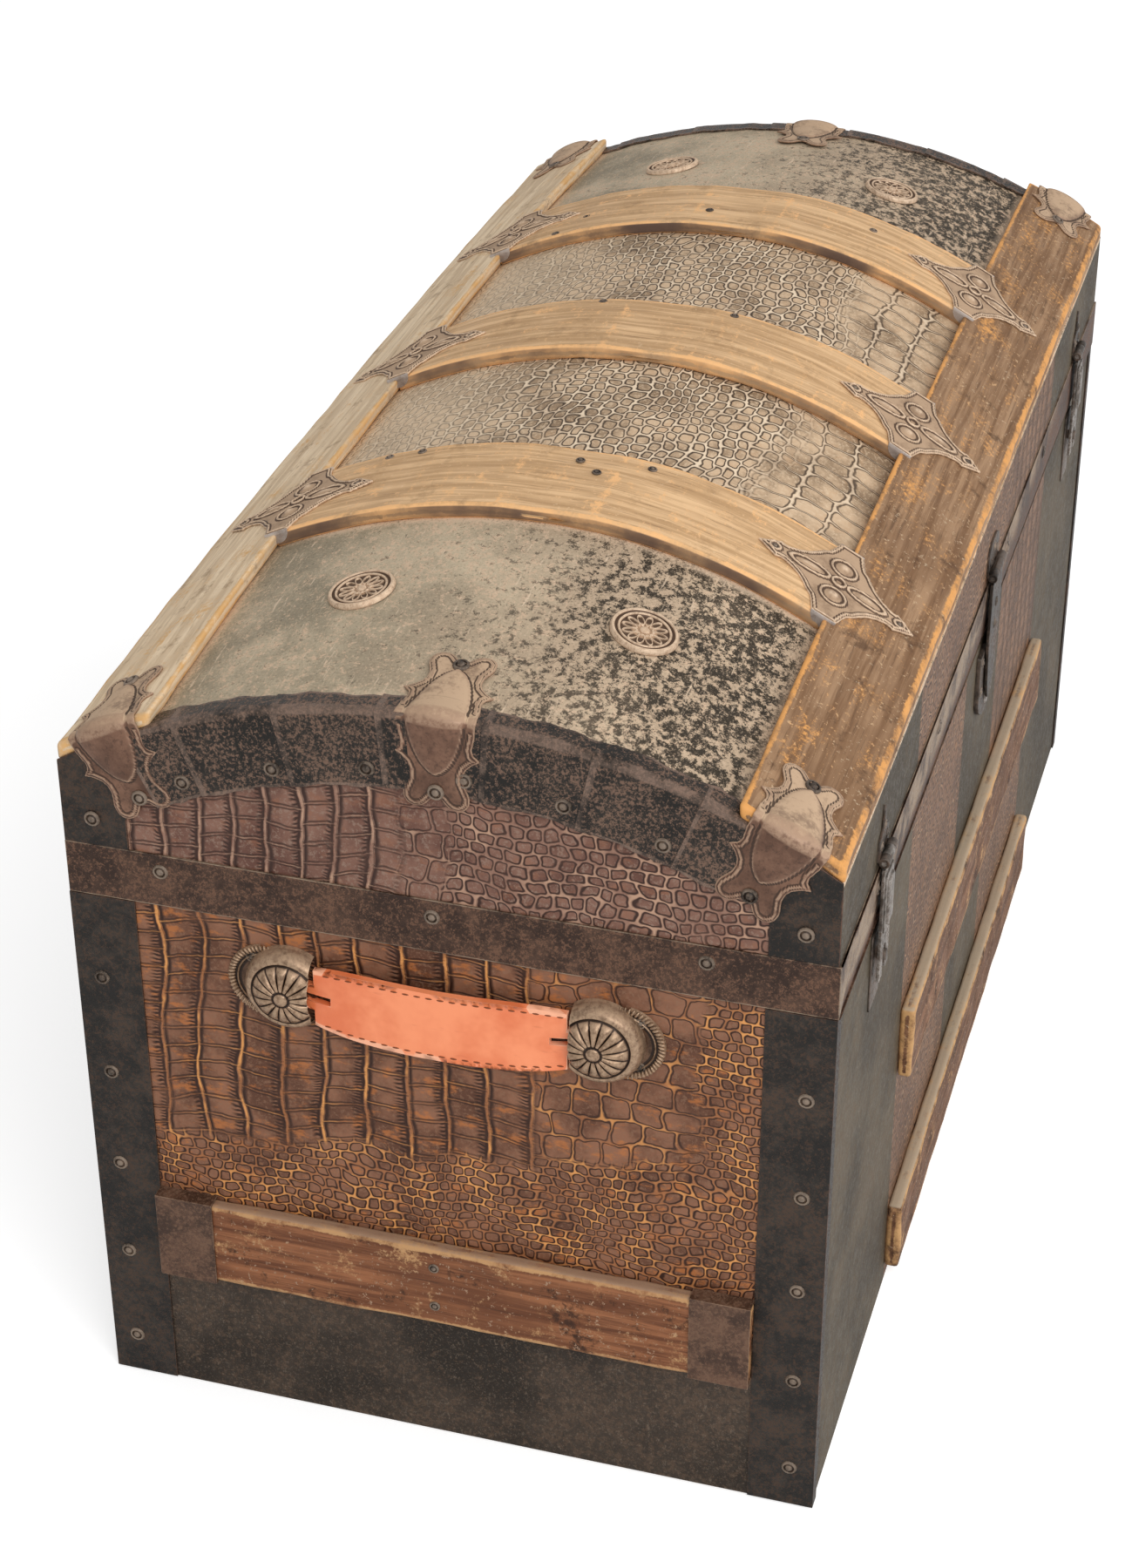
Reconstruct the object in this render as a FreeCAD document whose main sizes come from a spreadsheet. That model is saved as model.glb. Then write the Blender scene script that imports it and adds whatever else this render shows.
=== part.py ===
import FreeCAD, Part
import os
import re

import Sketcher
from FreeCAD import Placement, Rotation, Vector

# A dome top travelling trunk. X runs along its length, the front faces -Y, Z is up.
# The origin is the centre of the underside. All sizes are millimetres.

doc = FreeCAD.newDocument("DomeTopTrunk")

SIZES = {
    # wooden case
    "case_length": 910.0,
    "case_width": 442.0,
    "body_height": 372.0,
    "board": 12.0,
    "bottom_board_thickness": 12.0,
    "lid_overhang": 0.5,
    "seam_gap": 0.5,
    # dome
    "lid_side_height": 72.5,
    "dome_rise": 64.0,
    "stave": 10.0,
    "stave_count": 8,
    "stave_joint": 0.3,
    # metal skins and trims
    "sheet": 1.0,
    "trim": 1.2,
    "skin_foot_gap": 1.0,
    "bay_length": 213.0,
    "centre_sheet_width": 130.0,
    "corner_strip_width": 40.0,
    "corner_strip_return": 10.0,
    "edging_width": 47.0,
    "edging_turn_over": 12.0,
    "band_height": 34.0,
    "band_lap": 12.0,
    "band_clearance": 1.0,
    # wooden slats
    "slat": 9.0,
    "cross_slat_width": 80.0,
    "end_bay_length": 235.0,
    "plank_width": 57.0,
    "end_slat_height": 58.0,
    "end_slat_bottom": 94.0,
    "upper_slat_height": 52.0,
    "upper_slat_bottom": 165.0,
    "lower_slat_height": 50.0,
    "lower_slat_bottom": 12.0,
    "slat_cap_length": 36.0,
    # stamped clamps and rosettes
    "clamp_half_length": 56.0,
    "clamp_fold_width": 46.0,
    "clamp_neck_width": 31.0,
    "clamp_neck_distance": 33.0,
    "clamp_barb": 2.5,
    "clamp_barb_distance": 23.0,
    "clamp_lobe_radius": 8.0,
    "clamp_lobe_offset": 10.5,
    "clamp_boss_height": 3.5,
    "lozenge_length": 102.0,
    "lozenge_width": 68.0,
    "lozenge_tip_width": 17.0,
    "lozenge_tip_length": 14.0,
    "lozenge_lobe_width": 22.0,
    "lozenge_barb": 2.0,
    "rosette_radius": 18.0,
    "rosette_height": 4.5,
    "rosette_rim": 2.6,
    "rosette_inset": 115.0,
    "rosette_y": 82.0,
    "petal_count": 12,
    "petal_length": 8.6,
    "petal_width": 4.2,
    "petal_gap": 0.6,
    "rosette_nail_radius": 3.8,
    # rear hinges
    "hinge_width": 40.0,
    "hinge_inset": 155.0,
    "hinge_leaf": 1.5,
    "hinge_leaf_length": 42.0,
    "hinge_knuckle_radius": 4.2,
    "hinge_pin_radius": 2.2,
    "pin_clearance": 0.05,
    "knuckle_gap": 0.3,
    "stand_off": 0.3,
    # hasp, lock and draw latches
    "fitting_rise": 28.0,
    "fitting_knuckle_radius": 3.2,
    "fitting_pin_radius": 1.5,
    "fitting_stand_off": 4.2,
    "fitting_leaf": 1.5,
    "tongue_thickness": 2.0,
    "hasp_width": 36.0,
    "hasp_tip_width": 24.0,
    "hasp_length": 94.0,
    "hasp_knuckle_width": 16.0,
    "hasp_plate_height": 18.0,
    "lock_width": 56.0,
    "lock_height": 54.0,
    "lock_drop": 80.0,
    "lock_depth": 3.2,
    "staple_width": 8.0,
    "staple_height": 12.0,
    "staple_reach": 3.2,
    "staple_clearance": 2.0,
    "latch_inset": 105.0,
    "latch_width": 24.0,
    "latch_length": 80.0,
    "latch_knuckle_width": 10.0,
    "latch_tail_height": 28.0,
    "catch_height": 52.0,
    "catch_drop": 74.0,
    "catch_plate": 1.2,
    "post_radius": 3.5,
    "post_reach": 6.0,
    "post_drop": 40.0,
    "post_clearance": 1.0,
    "post_play": 3.0,
    # leather handles and their caps
    "handle_drop": 52.0,
    "mouth_y": 76.0,
    "cap_centre_offset": 15.0,
    "cap_flange_offset": 28.0,
    "cap_flange_radius": 24.0,
    "cap_flange": 1.2,
    "cap_collar_radius": 26.0,
    "cap_shoulder_radius": 22.0,
    "cap_collar_height": 12.0,
    "cap_dome_radius": 19.0,
    "cap_dome_height": 17.0,
    "cap_shell": 1.6,
    "cap_ceiling": 1.2,
    "cap_bead_width": 3.4,
    "cap_bead_height": 3.0,
    "rope_notch": 1.2,
    "rib_start": 4.0,
    "rib_height": 2.4,
    "cap_boss_height": 1.0,
    "strap_width": 48.0,
    "strap_thickness": 4.0,
    "strap_tab_width": 22.0,
    "strap_tab_end": 98.0,
    "strap_shoulder_gap": 2.0,
    "strap_end_height": 4.0,
    "strap_bow": 6.0,
    "slot_width": 6.0,
    "slot_start": 64.0,
    "slot_end": 90.0,
    "stud_y": 85.0,
    "stud_radius": 2.2,
    "stud_height": 8.8,
    "stud_head_radius": 4.2,
    "stud_head_height": 1.4,
}

sheet = doc.addObject("Spreadsheet::Sheet", "Sizes")
for row, (alias, size) in enumerate(SIZES.items(), start=1):
    sheet.set(f"A{row}", alias.replace("_", " "))
    sheet.set(f"B{row}", str(size))
    sheet.setAlias(f"B{row}", alias)
doc.recompute()

# Places worked out from the sizes, as formulas of their names.
half_length = "case_length / 2"
half_width = "case_width / 2"
body_half_length = "(case_length / 2 - lid_overhang)"
body_half_width = "(case_width / 2 - lid_overhang)"
body_end_face = f"({body_half_length} + sheet)"
body_side_face = f"({body_half_width} + sheet)"
lid_end_face = "(case_length / 2 + sheet)"
lid_side_face = "(case_width / 2 + sheet)"
lid_bottom = "(body_height + seam_gap)"
seam_middle = "(body_height + seam_gap / 2)"
band_bottom = "(body_height - band_lap)"
band_top = "(body_height - band_lap + band_height)"
bay_edge = "(case_length / 2 + sheet - bay_length)"
stave_radius = "(((case_width / 2) ^ 2 + dome_rise ^ 2) / (2 * dome_rise))"
dome_axis = f"({lid_bottom} + lid_side_height + dome_rise - {stave_radius})"
shell_radius = f"({stave_radius} - stave)"
skin_radius = f"({stave_radius} + sheet)"
edging_radius = f"({stave_radius} + sheet + trim)"
slat_radius = f"({stave_radius} + sheet + slat)"
plank_edge = f"({lid_side_face} - plank_width)"
lid_box_height = f"({stave_radius} + slat)"
cross_slat_x = "(case_length / 2 - end_bay_length)"
rosette_x = "(case_length / 2 - rosette_inset)"
hinge_x = "(case_length / 2 - hinge_inset)"
latch_x = "(case_length / 2 - latch_inset)"
fitting_z = "(body_height + fitting_rise)"
lock_z = "(body_height - lock_drop)"
catch_z = "(body_height - catch_drop)"
post_z = "(body_height - post_drop)"
handle_z = "(body_height - handle_drop)"
hinge_axis_y = f"({lid_side_face} + hinge_knuckle_radius + stand_off)"

WORD = re.compile(r"\b[a-z]+(?:_[a-z]+)+\b|\b(?:board|stave|sheet|trim|slat)\b")
nodes = []


def formula(text):
    return WORD.sub(lambda word: "Sizes." + word.group(0), text)


def value(text):
    return float(sheet.evalExpression(formula(text)))


def bind(target, **formulas):
    for name, text in formulas.items():
        target.setExpression(name, formula(text))


def put(target, x="0", y="0", z="0"):
    for axis, text in zip("xyz", (x, y, z)):
        target.setExpression(f"Placement.Base.{axis}", formula(text))
    return target


def turn(target, axis, degrees, centre=Vector()):
    target.Placement = Placement(Vector(), Rotation(axis, degrees), centre)
    return target


def node(label, piece):
    piece.Label = label
    nodes.append(piece)
    return piece


def group(label, members):
    together = doc.addObject("Part::Compound", label)
    together.Links = members
    return node(label, together)


def mirrored(name, source, normal):
    copy = doc.addObject("Part::Mirroring", name)
    copy.Source = source
    copy.Normal = normal
    return copy


def both_ways(name, source, normal):
    return [source, mirrored(name + "_mirrored", source, normal)]


def four_ways(name, source):
    front = both_ways(name + "_pair", source, ACROSS_LENGTH)
    return front + [mirrored(f"{name}_back{i}", piece, ACROSS_WIDTH) for i, piece in enumerate(front)]


ACROSS_LENGTH = Vector(1, 0, 0)
ACROSS_WIDTH = Vector(0, 1, 0)


# Part primitives and booleans

def box(name, x, y, z, length, width, height):
    block = doc.addObject("Part::Box", name)
    bind(block, Length=length, Width=width, Height=height)
    return put(block, x, y, z)


def drum(name, radius, x, length):
    """A cylinder about the dome's own axis, from x along +X."""
    cylinder = doc.addObject("Part::Cylinder", name)
    cylinder.Placement.Rotation = Rotation(Vector(0, 1, 0), 90)
    bind(cylinder, Radius=radius, Height=length)
    return put(cylinder, x, "0", dome_axis)


def boolean(kind, name, base, tool):
    result = doc.addObject("Part::" + kind, name)
    result.Base = base
    result.Tool = tool
    return result


def fuse(name, members):
    result = doc.addObject("Part::MultiFuse", name)
    result.Shapes = members
    return result


def ring(name, inner, outer, x, length):
    solid = drum(name + "_outer", outer, x, length)
    return boolean("Cut", name, solid, drum(name + "_inner", inner, x, length))


def dome_plate(name, inner, outer, x, length, y, width):
    """A plate bent over the dome between two radii, trimmed to a rectangle seen from above."""
    band = ring(name + "_ring", inner, outer, x, length)
    window = box(name + "_window", x, y, dome_axis, length, width, lid_box_height)
    return boolean("Common", name, band, window)


def under_dome(name, radius, x, y, z, length, width):
    """An upright board or sheet whose top edge follows the dome."""
    blank = box(name + "_blank", x, y, z, length, width, lid_box_height)
    return boolean("Common", name, blank, drum(name + "_dome", radius, x, length))


# PartDesign helpers

def body(name):
    return doc.addObject("PartDesign::Body", name)


def origin_plane(owner, role):
    return next(plane for plane in owner.Origin.OriginFeatures if plane.Role == role)


def new_sketch(owner, role, offset="0"):
    sketch = owner.newObject("Sketcher::SketchObject", owner.Name + "_sketch")
    sketch.AttachmentSupport = [(origin_plane(owner, role), "")]
    sketch.MapMode = "FlatFace"
    sketch.setExpression("AttachmentOffset.Base.z", formula(offset))
    return sketch


def pin_point(sketch, geometry, vertex, x, y):
    for kind, text in (("DistanceX", x), ("DistanceY", y)):
        index = sketch.addConstraint(Sketcher.Constraint(kind, -1, 1, geometry, vertex, value(text)))
        sketch.setExpression(f"Constraints[{index}]", formula(text))


def outline(owner, role, corners, offset="0"):
    """A closed outline. A corner's third entry is how far the edge after it bows to its left."""
    sketch = new_sketch(owner, role, offset)
    places = [Vector(value(corner[0]), value(corner[1]), 0) for corner in corners]
    ends = []
    for index, corner in enumerate(corners):
        start = places[index]
        stop = places[(index + 1) % len(places)]
        if len(corner) == 3:
            across = (stop - start).normalize()
            bow = value(corner[2])
            middle = (start + stop) / 2 + Vector(-across.y, across.x, 0) * bow
            forwards = bow < 0
            edge = Part.Arc(start, middle, stop) if forwards else Part.Arc(stop, middle, start)
            geometry = sketch.addGeometry(edge)
            sketch.addConstraint(Sketcher.Constraint("Radius", geometry, sketch.Geometry[geometry].Radius))
        else:
            forwards = True
            sketch.addGeometry(Part.LineSegment(start, stop))
        ends.append((1, 2) if forwards else (2, 1))
    for index, corner in enumerate(corners):
        following = corners[(index + 1) % len(corners)]
        pin_point(sketch, index, ends[index][0], corner[0], corner[1])
        pin_point(sketch, index, ends[index][1], following[0], following[1])
    return sketch


def circle(owner, role, x, y, radius, offset="0"):
    sketch = new_sketch(owner, role, offset)
    centre = Vector(value(x), value(y), 0)
    geometry = sketch.addGeometry(Part.Circle(centre, Vector(0, 0, 1), value(radius)))
    pin_point(sketch, geometry, 3, x, y)
    index = sketch.addConstraint(Sketcher.Constraint("Radius", geometry, value(radius)))
    sketch.setExpression(f"Constraints[{index}]", formula(radius))
    return sketch


def star(owner, role, x, y, radii, points, offset="0"):
    """An outline of evenly spaced corners that take the radii by turns."""
    corners = []
    for step in range(points):
        radius = radii[step % len(radii)]
        angle = f"{step * 360 / points} deg"
        corners.append((f"{x} + {radius} * cos({angle})", f"{y} + {radius} * sin({angle})"))
    return outline(owner, role, corners, offset)


def rectangle(owner, role, x, y, width, height, offset="0"):
    right = f"({x} + {width})"
    top = f"({y} + {height})"
    return outline(owner, role, [(x, y), (right, y), (right, top), (x, top)], offset)


def pad(owner, sketch, length, midplane=False, backwards=False):
    feature = owner.newObject("PartDesign::Pad", owner.Name + "_pad")
    feature.Profile = sketch
    feature.Midplane = midplane
    feature.Reversed = backwards
    bind(feature, Length=length)
    return feature


def pocket(owner, sketch, length, midplane=False, backwards=False):
    feature = owner.newObject("PartDesign::Pocket", owner.Name + "_pocket")
    feature.Profile = sketch
    feature.Midplane = midplane
    feature.Reversed = backwards
    bind(feature, Length=length)
    return feature


def loft(owner, sections):
    feature = owner.newObject("PartDesign::AdditiveLoft", owner.Name + "_loft")
    feature.Profile = sections[0]
    feature.Sections = sections[1:]
    feature.Ruled = True
    return feature


def revolve(owner, kind, sketch, axis, angle=360.0):
    feature = owner.newObject("PartDesign::" + kind, owner.Name + "_revolve")
    feature.Profile = sketch
    feature.ReferenceAxis = (sketch, [axis])
    feature.Midplane = True
    feature.Angle = angle
    return feature


def polar(owner, feature, sketch, axis, count, angle=360.0):
    pattern = owner.newObject("PartDesign::PolarPattern", owner.Name + "_polar")
    pattern.Originals = [feature]
    pattern.Axis = (sketch, [axis])
    pattern.Angle = angle
    bind(pattern, Occurrences=count)
    owner.Tip = pattern
    return pattern


# Each cap's dome has this many ribs, with as many flutes between them.
RIB_COUNT = 14
# Small round forms that nothing turns in are drawn with this many flats.
CAP_SIDES = 20
ROSETTE_SIDES = 16
KNUCKLE_SIDES = 12
NAIL_SIDES = 8

# The body of the trunk

def body_boards():
    front = box("body_front_board", f"-{body_half_length}", f"-{body_half_width}", "0",
                f"2 * {body_half_length}", "board", "body_height")
    node("body_front_board", front)
    node("body_back_board", mirrored("body_back_board", front, ACROSS_WIDTH))
    inside = f"({body_half_width} - board)"
    left = box("body_left_board", f"-{body_half_length}", f"-{inside}", "0", "board", f"2 * {inside}",
               "body_height")
    node("body_left_board", left)
    node("body_right_board", mirrored("body_right_board", left, ACROSS_LENGTH))
    floor_half = f"({body_half_length} - board)"
    node("bottom_board", box("bottom_board", f"-{floor_half}", f"-{inside}", "0", f"2 * {floor_half}",
                             f"2 * {inside}", "bottom_board_thickness"))


def body_skins():
    height = "body_height - skin_foot_gap"
    bay = box("front_bay", f"-{body_end_face}", f"-{body_side_face}", "skin_foot_gap",
              f"{body_end_face} - {bay_edge}", "sheet", height)
    group("body_front_bay_sheets", both_ways("front_bay", bay, ACROSS_LENGTH))
    centre = box("body_front_centre_sheet", "-centre_sheet_width / 2", f"-{body_side_face}", "skin_foot_gap",
                 "centre_sheet_width", "sheet", height)
    node("body_front_centre_sheet", centre)
    panel = box("front_panel", "centre_sheet_width / 2", f"-{body_side_face}", "skin_foot_gap",
                f"{bay_edge} - centre_sheet_width / 2", "sheet", height)
    group("body_front_embossed_panels", both_ways("front_panel", panel, ACROSS_LENGTH))
    node("body_back_sheet", box("body_back_sheet", f"-{body_end_face}", body_half_width, "skin_foot_gap",
                                f"2 * {body_end_face}", "sheet", height))
    split = "(end_slat_bottom + end_slat_height / 2)"
    upper = box("body_end_panel", f"-{body_end_face}", f"-{body_half_width}", split,
                "sheet", f"2 * {body_half_width}", f"body_height - {split}")
    group("body_end_embossed_panels", both_ways("body_end_panel", upper, ACROSS_LENGTH))
    lower = box("end_lower_sheet", f"-{body_end_face}", f"-{body_half_width}", "skin_foot_gap",
                "sheet", f"2 * {body_half_width}", f"{split} - skin_foot_gap")
    group("body_end_lower_sheets", both_ways("end_lower_sheet", lower, ACROSS_LENGTH))


def corner_strips():
    strip = body("corner_strip")
    x = f"-({body_end_face} + trim)"
    y = f"-({body_side_face} + trim)"
    corners = [
        (x, y), (f"{x} + corner_strip_return", y), (f"{x} + corner_strip_return", f"-{body_side_face}"),
        (f"-{body_end_face}", f"-{body_side_face}"), (f"-{body_end_face}", f"{y} + corner_strip_width"),
        (x, f"{y} + corner_strip_width")]
    section = outline(strip, "XY_Plane", corners, "skin_foot_gap")
    pad(strip, section, f"{band_bottom} - band_clearance - skin_foot_gap")
    group("body_corner_strips", four_ways("corner_strip", strip))


def body_slats():
    strip_edge = f"({body_side_face} + trim - corner_strip_width)"
    left = box("left_end_slat", f"-({body_end_face} + slat)", f"-{strip_edge}", "end_slat_bottom",
               "slat", f"2 * {strip_edge}", "end_slat_height")
    node("left_end_slat", left)
    node("right_end_slat", mirrored("right_end_slat", left, ACROSS_LENGTH))
    upper = box("front_upper_slat", f"-{bay_edge}", f"-({body_side_face} + slat)", "upper_slat_bottom",
                f"2 * {bay_edge}", "slat", "upper_slat_height")
    node("front_upper_slat", upper)
    node("back_upper_slat", mirrored("back_upper_slat", upper, ACROSS_WIDTH))
    lower = box("front_lower_slat", f"-{bay_edge}", f"-({body_side_face} + slat)", "lower_slat_bottom",
                f"2 * {bay_edge}", "slat", "lower_slat_height")
    node("front_lower_slat", lower)
    node("back_lower_slat", mirrored("back_lower_slat", lower, ACROSS_WIDTH))
    sleeve = box("slat_cap_sleeve", f"-({body_end_face} + slat + trim)", f"-{strip_edge}",
                 "end_slat_bottom - trim", "slat + trim", "slat_cap_length", "end_slat_height + 2 * trim")
    space = box("slat_cap_space", f"-({body_end_face} + slat)", f"-{strip_edge}", "end_slat_bottom",
                "slat", "slat_cap_length", "end_slat_height")
    cap = boolean("Cut", "slat_cap", sleeve, space)
    group("end_slat_caps", four_ways("slat_cap", cap))


# The lid

def lid_boards():
    front = under_dome("lid_front_board", shell_radius, f"-{half_length}", f"-{half_width}", lid_bottom,
                       "case_length", "board")
    node("lid_front_board", front)
    node("lid_back_board", mirrored("lid_back_board", front, ACROSS_WIDTH))
    inside = "(case_width / 2 - board)"
    left = under_dome("lid_left_board", shell_radius, f"-{half_length}", f"-{inside}", lid_bottom,
                      "board", f"2 * {inside}")
    node("lid_left_board", left)
    node("lid_right_board", mirrored("lid_right_board", left, ACROSS_LENGTH))


def dome_staves():
    reach = f"(2 * asin(case_width / 2 / {shell_radius}))"
    staves = body("staves")
    profile = rectangle(staves, "XZ_Plane", f"-{half_length}", shell_radius, "case_length", "stave")
    one = revolve(staves, "Revolution", profile, "H_Axis")
    bind(one, Angle=f"{reach} / stave_count - stave_joint / {shell_radius} * 180 deg / pi")
    step = f"{reach} * (1 - 1 / stave_count)"
    row = polar(staves, one, profile, "H_Axis", "stave_count")
    bind(row, Angle=step)
    staves.Placement.Rotation = Rotation(Vector(1, 0, 0), -value(step) / 2)
    put(staves, z=dome_axis)
    window = box("stave_window", f"-{half_length}", f"-{half_width}", dome_axis, "case_length", "case_width",
                 lid_box_height)
    node("dome_staves", boolean("Common", "dome_staves", staves, window))


def dome_skins():
    overall = f"(2 * {lid_side_face})"
    bay = dome_plate("dome_bay", stave_radius, skin_radius, f"-{lid_end_face}",
                     f"{lid_end_face} - {cross_slat_x}", f"-{lid_side_face}", overall)
    group("dome_bay_sheets", both_ways("dome_bay", bay, ACROSS_LENGTH))
    panel = dome_plate("dome_panel", stave_radius, skin_radius, f"-{cross_slat_x}", cross_slat_x,
                       f"-{lid_side_face}", overall)
    group("dome_embossed_panels", both_ways("dome_panel", panel, ACROSS_LENGTH))
    front_bay = under_dome("lid_front_bay", stave_radius, f"-{lid_end_face}", f"-{lid_side_face}",
                           lid_bottom, f"{lid_end_face} - {bay_edge}", "sheet")
    group("lid_front_bay_sheets", both_ways("lid_front_bay", front_bay, ACROSS_LENGTH))
    node("lid_front_embossed_panel", under_dome("lid_front_embossed_panel", stave_radius, f"-{bay_edge}",
                                                f"-{lid_side_face}", lid_bottom, f"2 * {bay_edge}", "sheet"))
    back = under_dome("lid_back_sheet", stave_radius, f"-{lid_end_face}", half_width, lid_bottom,
                      f"2 * {lid_end_face}", "sheet")
    node("lid_back_sheet", back)
    panel = under_dome("lid_end_panel", stave_radius, f"-{lid_end_face}", f"-{half_width}", lid_bottom,
                      "sheet", "case_width")
    group("lid_end_embossed_panels", both_ways("lid_end_panel", panel, ACROSS_LENGTH))


def dome_slats():
    for name, x in (("left", f"-{cross_slat_x}"), ("centre", "0"), ("right", cross_slat_x)):
        slat = dome_plate(f"{name}_dome_slat", skin_radius, slat_radius, f"{x} - cross_slat_width / 2",
                          "cross_slat_width", f"-{plank_edge}", f"2 * {plank_edge}")
        node(f"{name}_dome_slat", slat)
    front = dome_plate("front_edge_plank", skin_radius, slat_radius, f"-{lid_end_face}",
                       f"2 * {lid_end_face}", f"-{lid_side_face}", "plank_width")
    node("front_edge_plank", front)
    node("back_edge_plank", mirrored("back_edge_plank", front, ACROSS_WIDTH))


def lid_trims():
    plate_edge = f"({lid_side_face} + trim - corner_strip_width)"
    outer_end = f"({lid_end_face} + trim)"
    face = dome_plate("edging_face", f"{edging_radius} - edging_width", edging_radius, f"-{outer_end}",
                      "trim", f"-{plate_edge}", f"2 * {plate_edge}")
    top = dome_plate("edging_top", skin_radius, edging_radius, f"-{outer_end}", "edging_turn_over",
                     f"-{plank_edge}", f"2 * {plank_edge}")
    group("arch_edging", both_ways("edging", boolean("Fuse", "edging", face, top), ACROSS_LENGTH))
    plate = under_dome("lid_corner_plate", edging_radius, f"-{outer_end}", f"-{lid_side_face}", band_top,
                       "trim", f"{lid_side_face} - {plate_edge}")
    group("lid_corner_plates", four_ways("lid_corner_plate", plate))
    side = box("band_side", f"-{outer_end}", f"-({lid_side_face} + trim)", band_bottom, "trim",
               f"2 * {lid_side_face} + trim", "band_height")
    front = box("band_front", f"-{lid_end_face}", f"-({lid_side_face} + trim)", band_bottom,
                f"2 * {lid_end_face}", "trim", "band_height")
    group("lid_band", both_ways("band_side", side, ACROSS_LENGTH) + [front])


# Stamped clamps and rosettes

def clamp_blank(name, role, place, depth, backwards):
    """The clamp's outline: a wide fold, a barb on each side, a neck and two lobes round the nail."""
    blank = body(name)
    right = [
        ("clamp_fold_width / 2", "0"),
        ("clamp_fold_width / 2 - clamp_barb", "clamp_barb_distance - 2 * clamp_barb"),
        ("clamp_fold_width / 2 + clamp_barb", "clamp_barb_distance"),
        ("clamp_neck_width / 2", "clamp_neck_distance"),
        ("clamp_lobe_offset + clamp_lobe_radius", "clamp_half_length - clamp_lobe_radius"),
        ("clamp_lobe_offset + clamp_lobe_radius / 2", "clamp_half_length"),
        ("clamp_lobe_offset - clamp_lobe_radius / 2", "clamp_half_length"),
    ]
    notch = [("0", "clamp_half_length - clamp_lobe_radius")]
    left = [(f"-({u})", v) for u, v in reversed(right)]
    corners = [place(u, v) for u, v in right + notch + left]
    pad(blank, outline(blank, role, corners), depth, backwards=backwards)
    return blank


def clamp_boss(name, role, place, backwards):
    """The raised almond that stiffens the fold: a low triangle with sloping sides."""
    boss = body(name)
    wide = "clamp_neck_width / 2"
    corners = [
        (f"-({wide})", "-clamp_boss_height"), (wide, "-clamp_boss_height"), ("0", "clamp_neck_distance")]
    sides = pad(boss, outline(boss, role, [place(u, v) for u, v in corners]), "clamp_boss_height + trim / 2",
                backwards=backwards)
    sides.TaperAngle = -40.0
    return boss


def end_clamp(name, top_radius, angle):
    """One bracket folded over the dome's end, made at the crown and turned about the dome's axis."""
    fold_x = f"({lid_end_face} + trim)"
    thick = "trim"
    face = clamp_blank(name + "_face", "YZ_Plane", lambda u, v: (u, f"-({v})"), thick, True)
    put(face, f"-{fold_x}", "0", f"{dome_axis} + {top_radius} + {thick}")
    reach = "(clamp_half_length * 2)"
    cover = clamp_blank(name + "_cover", "XY_Plane", lambda u, v: (v, u), reach, False)
    put(cover, f"-{fold_x} - trim", "0", f"{dome_axis} + {top_radius} - {reach} / 2")
    bent = ring(name + "_ring", top_radius, f"{top_radius} + {thick}", f"-{fold_x} - trim", reach)
    top = boolean("Common", name + "_top", cover, bent)
    face_boss = clamp_boss(name + "_face_boss", "YZ_Plane", lambda u, v: (u, f"-({v})"), True)
    put(face_boss, f"-{fold_x} - {thick} / 2", "0", f"{dome_axis} + {top_radius} + {thick}")
    top_boss = clamp_boss(name + "_top_boss", "XY_Plane", lambda u, v: (v, u), False)
    put(top_boss, f"-{fold_x} - {thick}", "0", f"{dome_axis} + {top_radius} + {thick} / 2")
    clamp = fuse(name, [face, top, face_boss, top_boss])
    return turn(clamp, ACROSS_LENGTH, angle, Vector(0, 0, value(dome_axis)))


def end_clamps():
    plank_middle = f"({lid_side_face} - plank_width / 2)"
    side_angle = value(f"asin({plank_middle} / {slat_radius})")
    left = [end_clamp("clamp_crown", edging_radius, 0), end_clamp("clamp_front", slat_radius, side_angle),
            end_clamp("clamp_back", slat_radius, -side_angle)]
    group("end_clamps", left + [mirrored(piece.Name + "_right", piece, ACROSS_LENGTH) for piece in left])


def lozenge(name, x, angle):
    """A pointed plate with round side lobes, bent over a cross slat where it meets the edge plank."""
    blank = body(name + "_blank")
    tip = "lozenge_length / 2"
    barb_v = f"({tip} - lozenge_tip_length)"
    upper = [
        ("lozenge_width / 2", "lozenge_lobe_width / 5"),
        ("lozenge_width / 2 - lozenge_lobe_width / 4", "lozenge_lobe_width / 2"),
        ("lozenge_width / 2 - lozenge_lobe_width / 2", "lozenge_lobe_width / 2"),
        ("lozenge_tip_width / 2 - lozenge_barb", f"{barb_v} - lozenge_barb"),
        ("lozenge_tip_width / 2", barb_v),
    ]
    right = upper + [("0", tip)]
    left = [(f"-({u})", v) for u, v in reversed(upper)]
    top = right + left
    bottom = [(f"-({u})", f"-({v})") for u, v in top]
    pad(blank, outline(blank, "XY_Plane", top + bottom), "lozenge_length")
    put(blank, x, "0", f"{dome_axis} + {slat_radius} - lozenge_length / 2")
    bent = ring(name + "_ring", slat_radius, f"{slat_radius} + trim", f"{x} - lozenge_width",
                "2 * lozenge_width")
    plate = boolean("Common", name, blank, bent)
    return turn(plate, ACROSS_LENGTH, angle, Vector(0, 0, value(dome_axis)))


def slat_clamps():
    angle = value(f"asin({plank_edge} / {slat_radius})")
    rows = []
    for column, x in enumerate((f"-{cross_slat_x}", "0", cross_slat_x)):
        rows.append(lozenge(f"front_lozenge{column}", x, angle))
        rows.append(lozenge(f"back_lozenge{column}", x, -angle))
    group("slat_clamps", rows)


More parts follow.
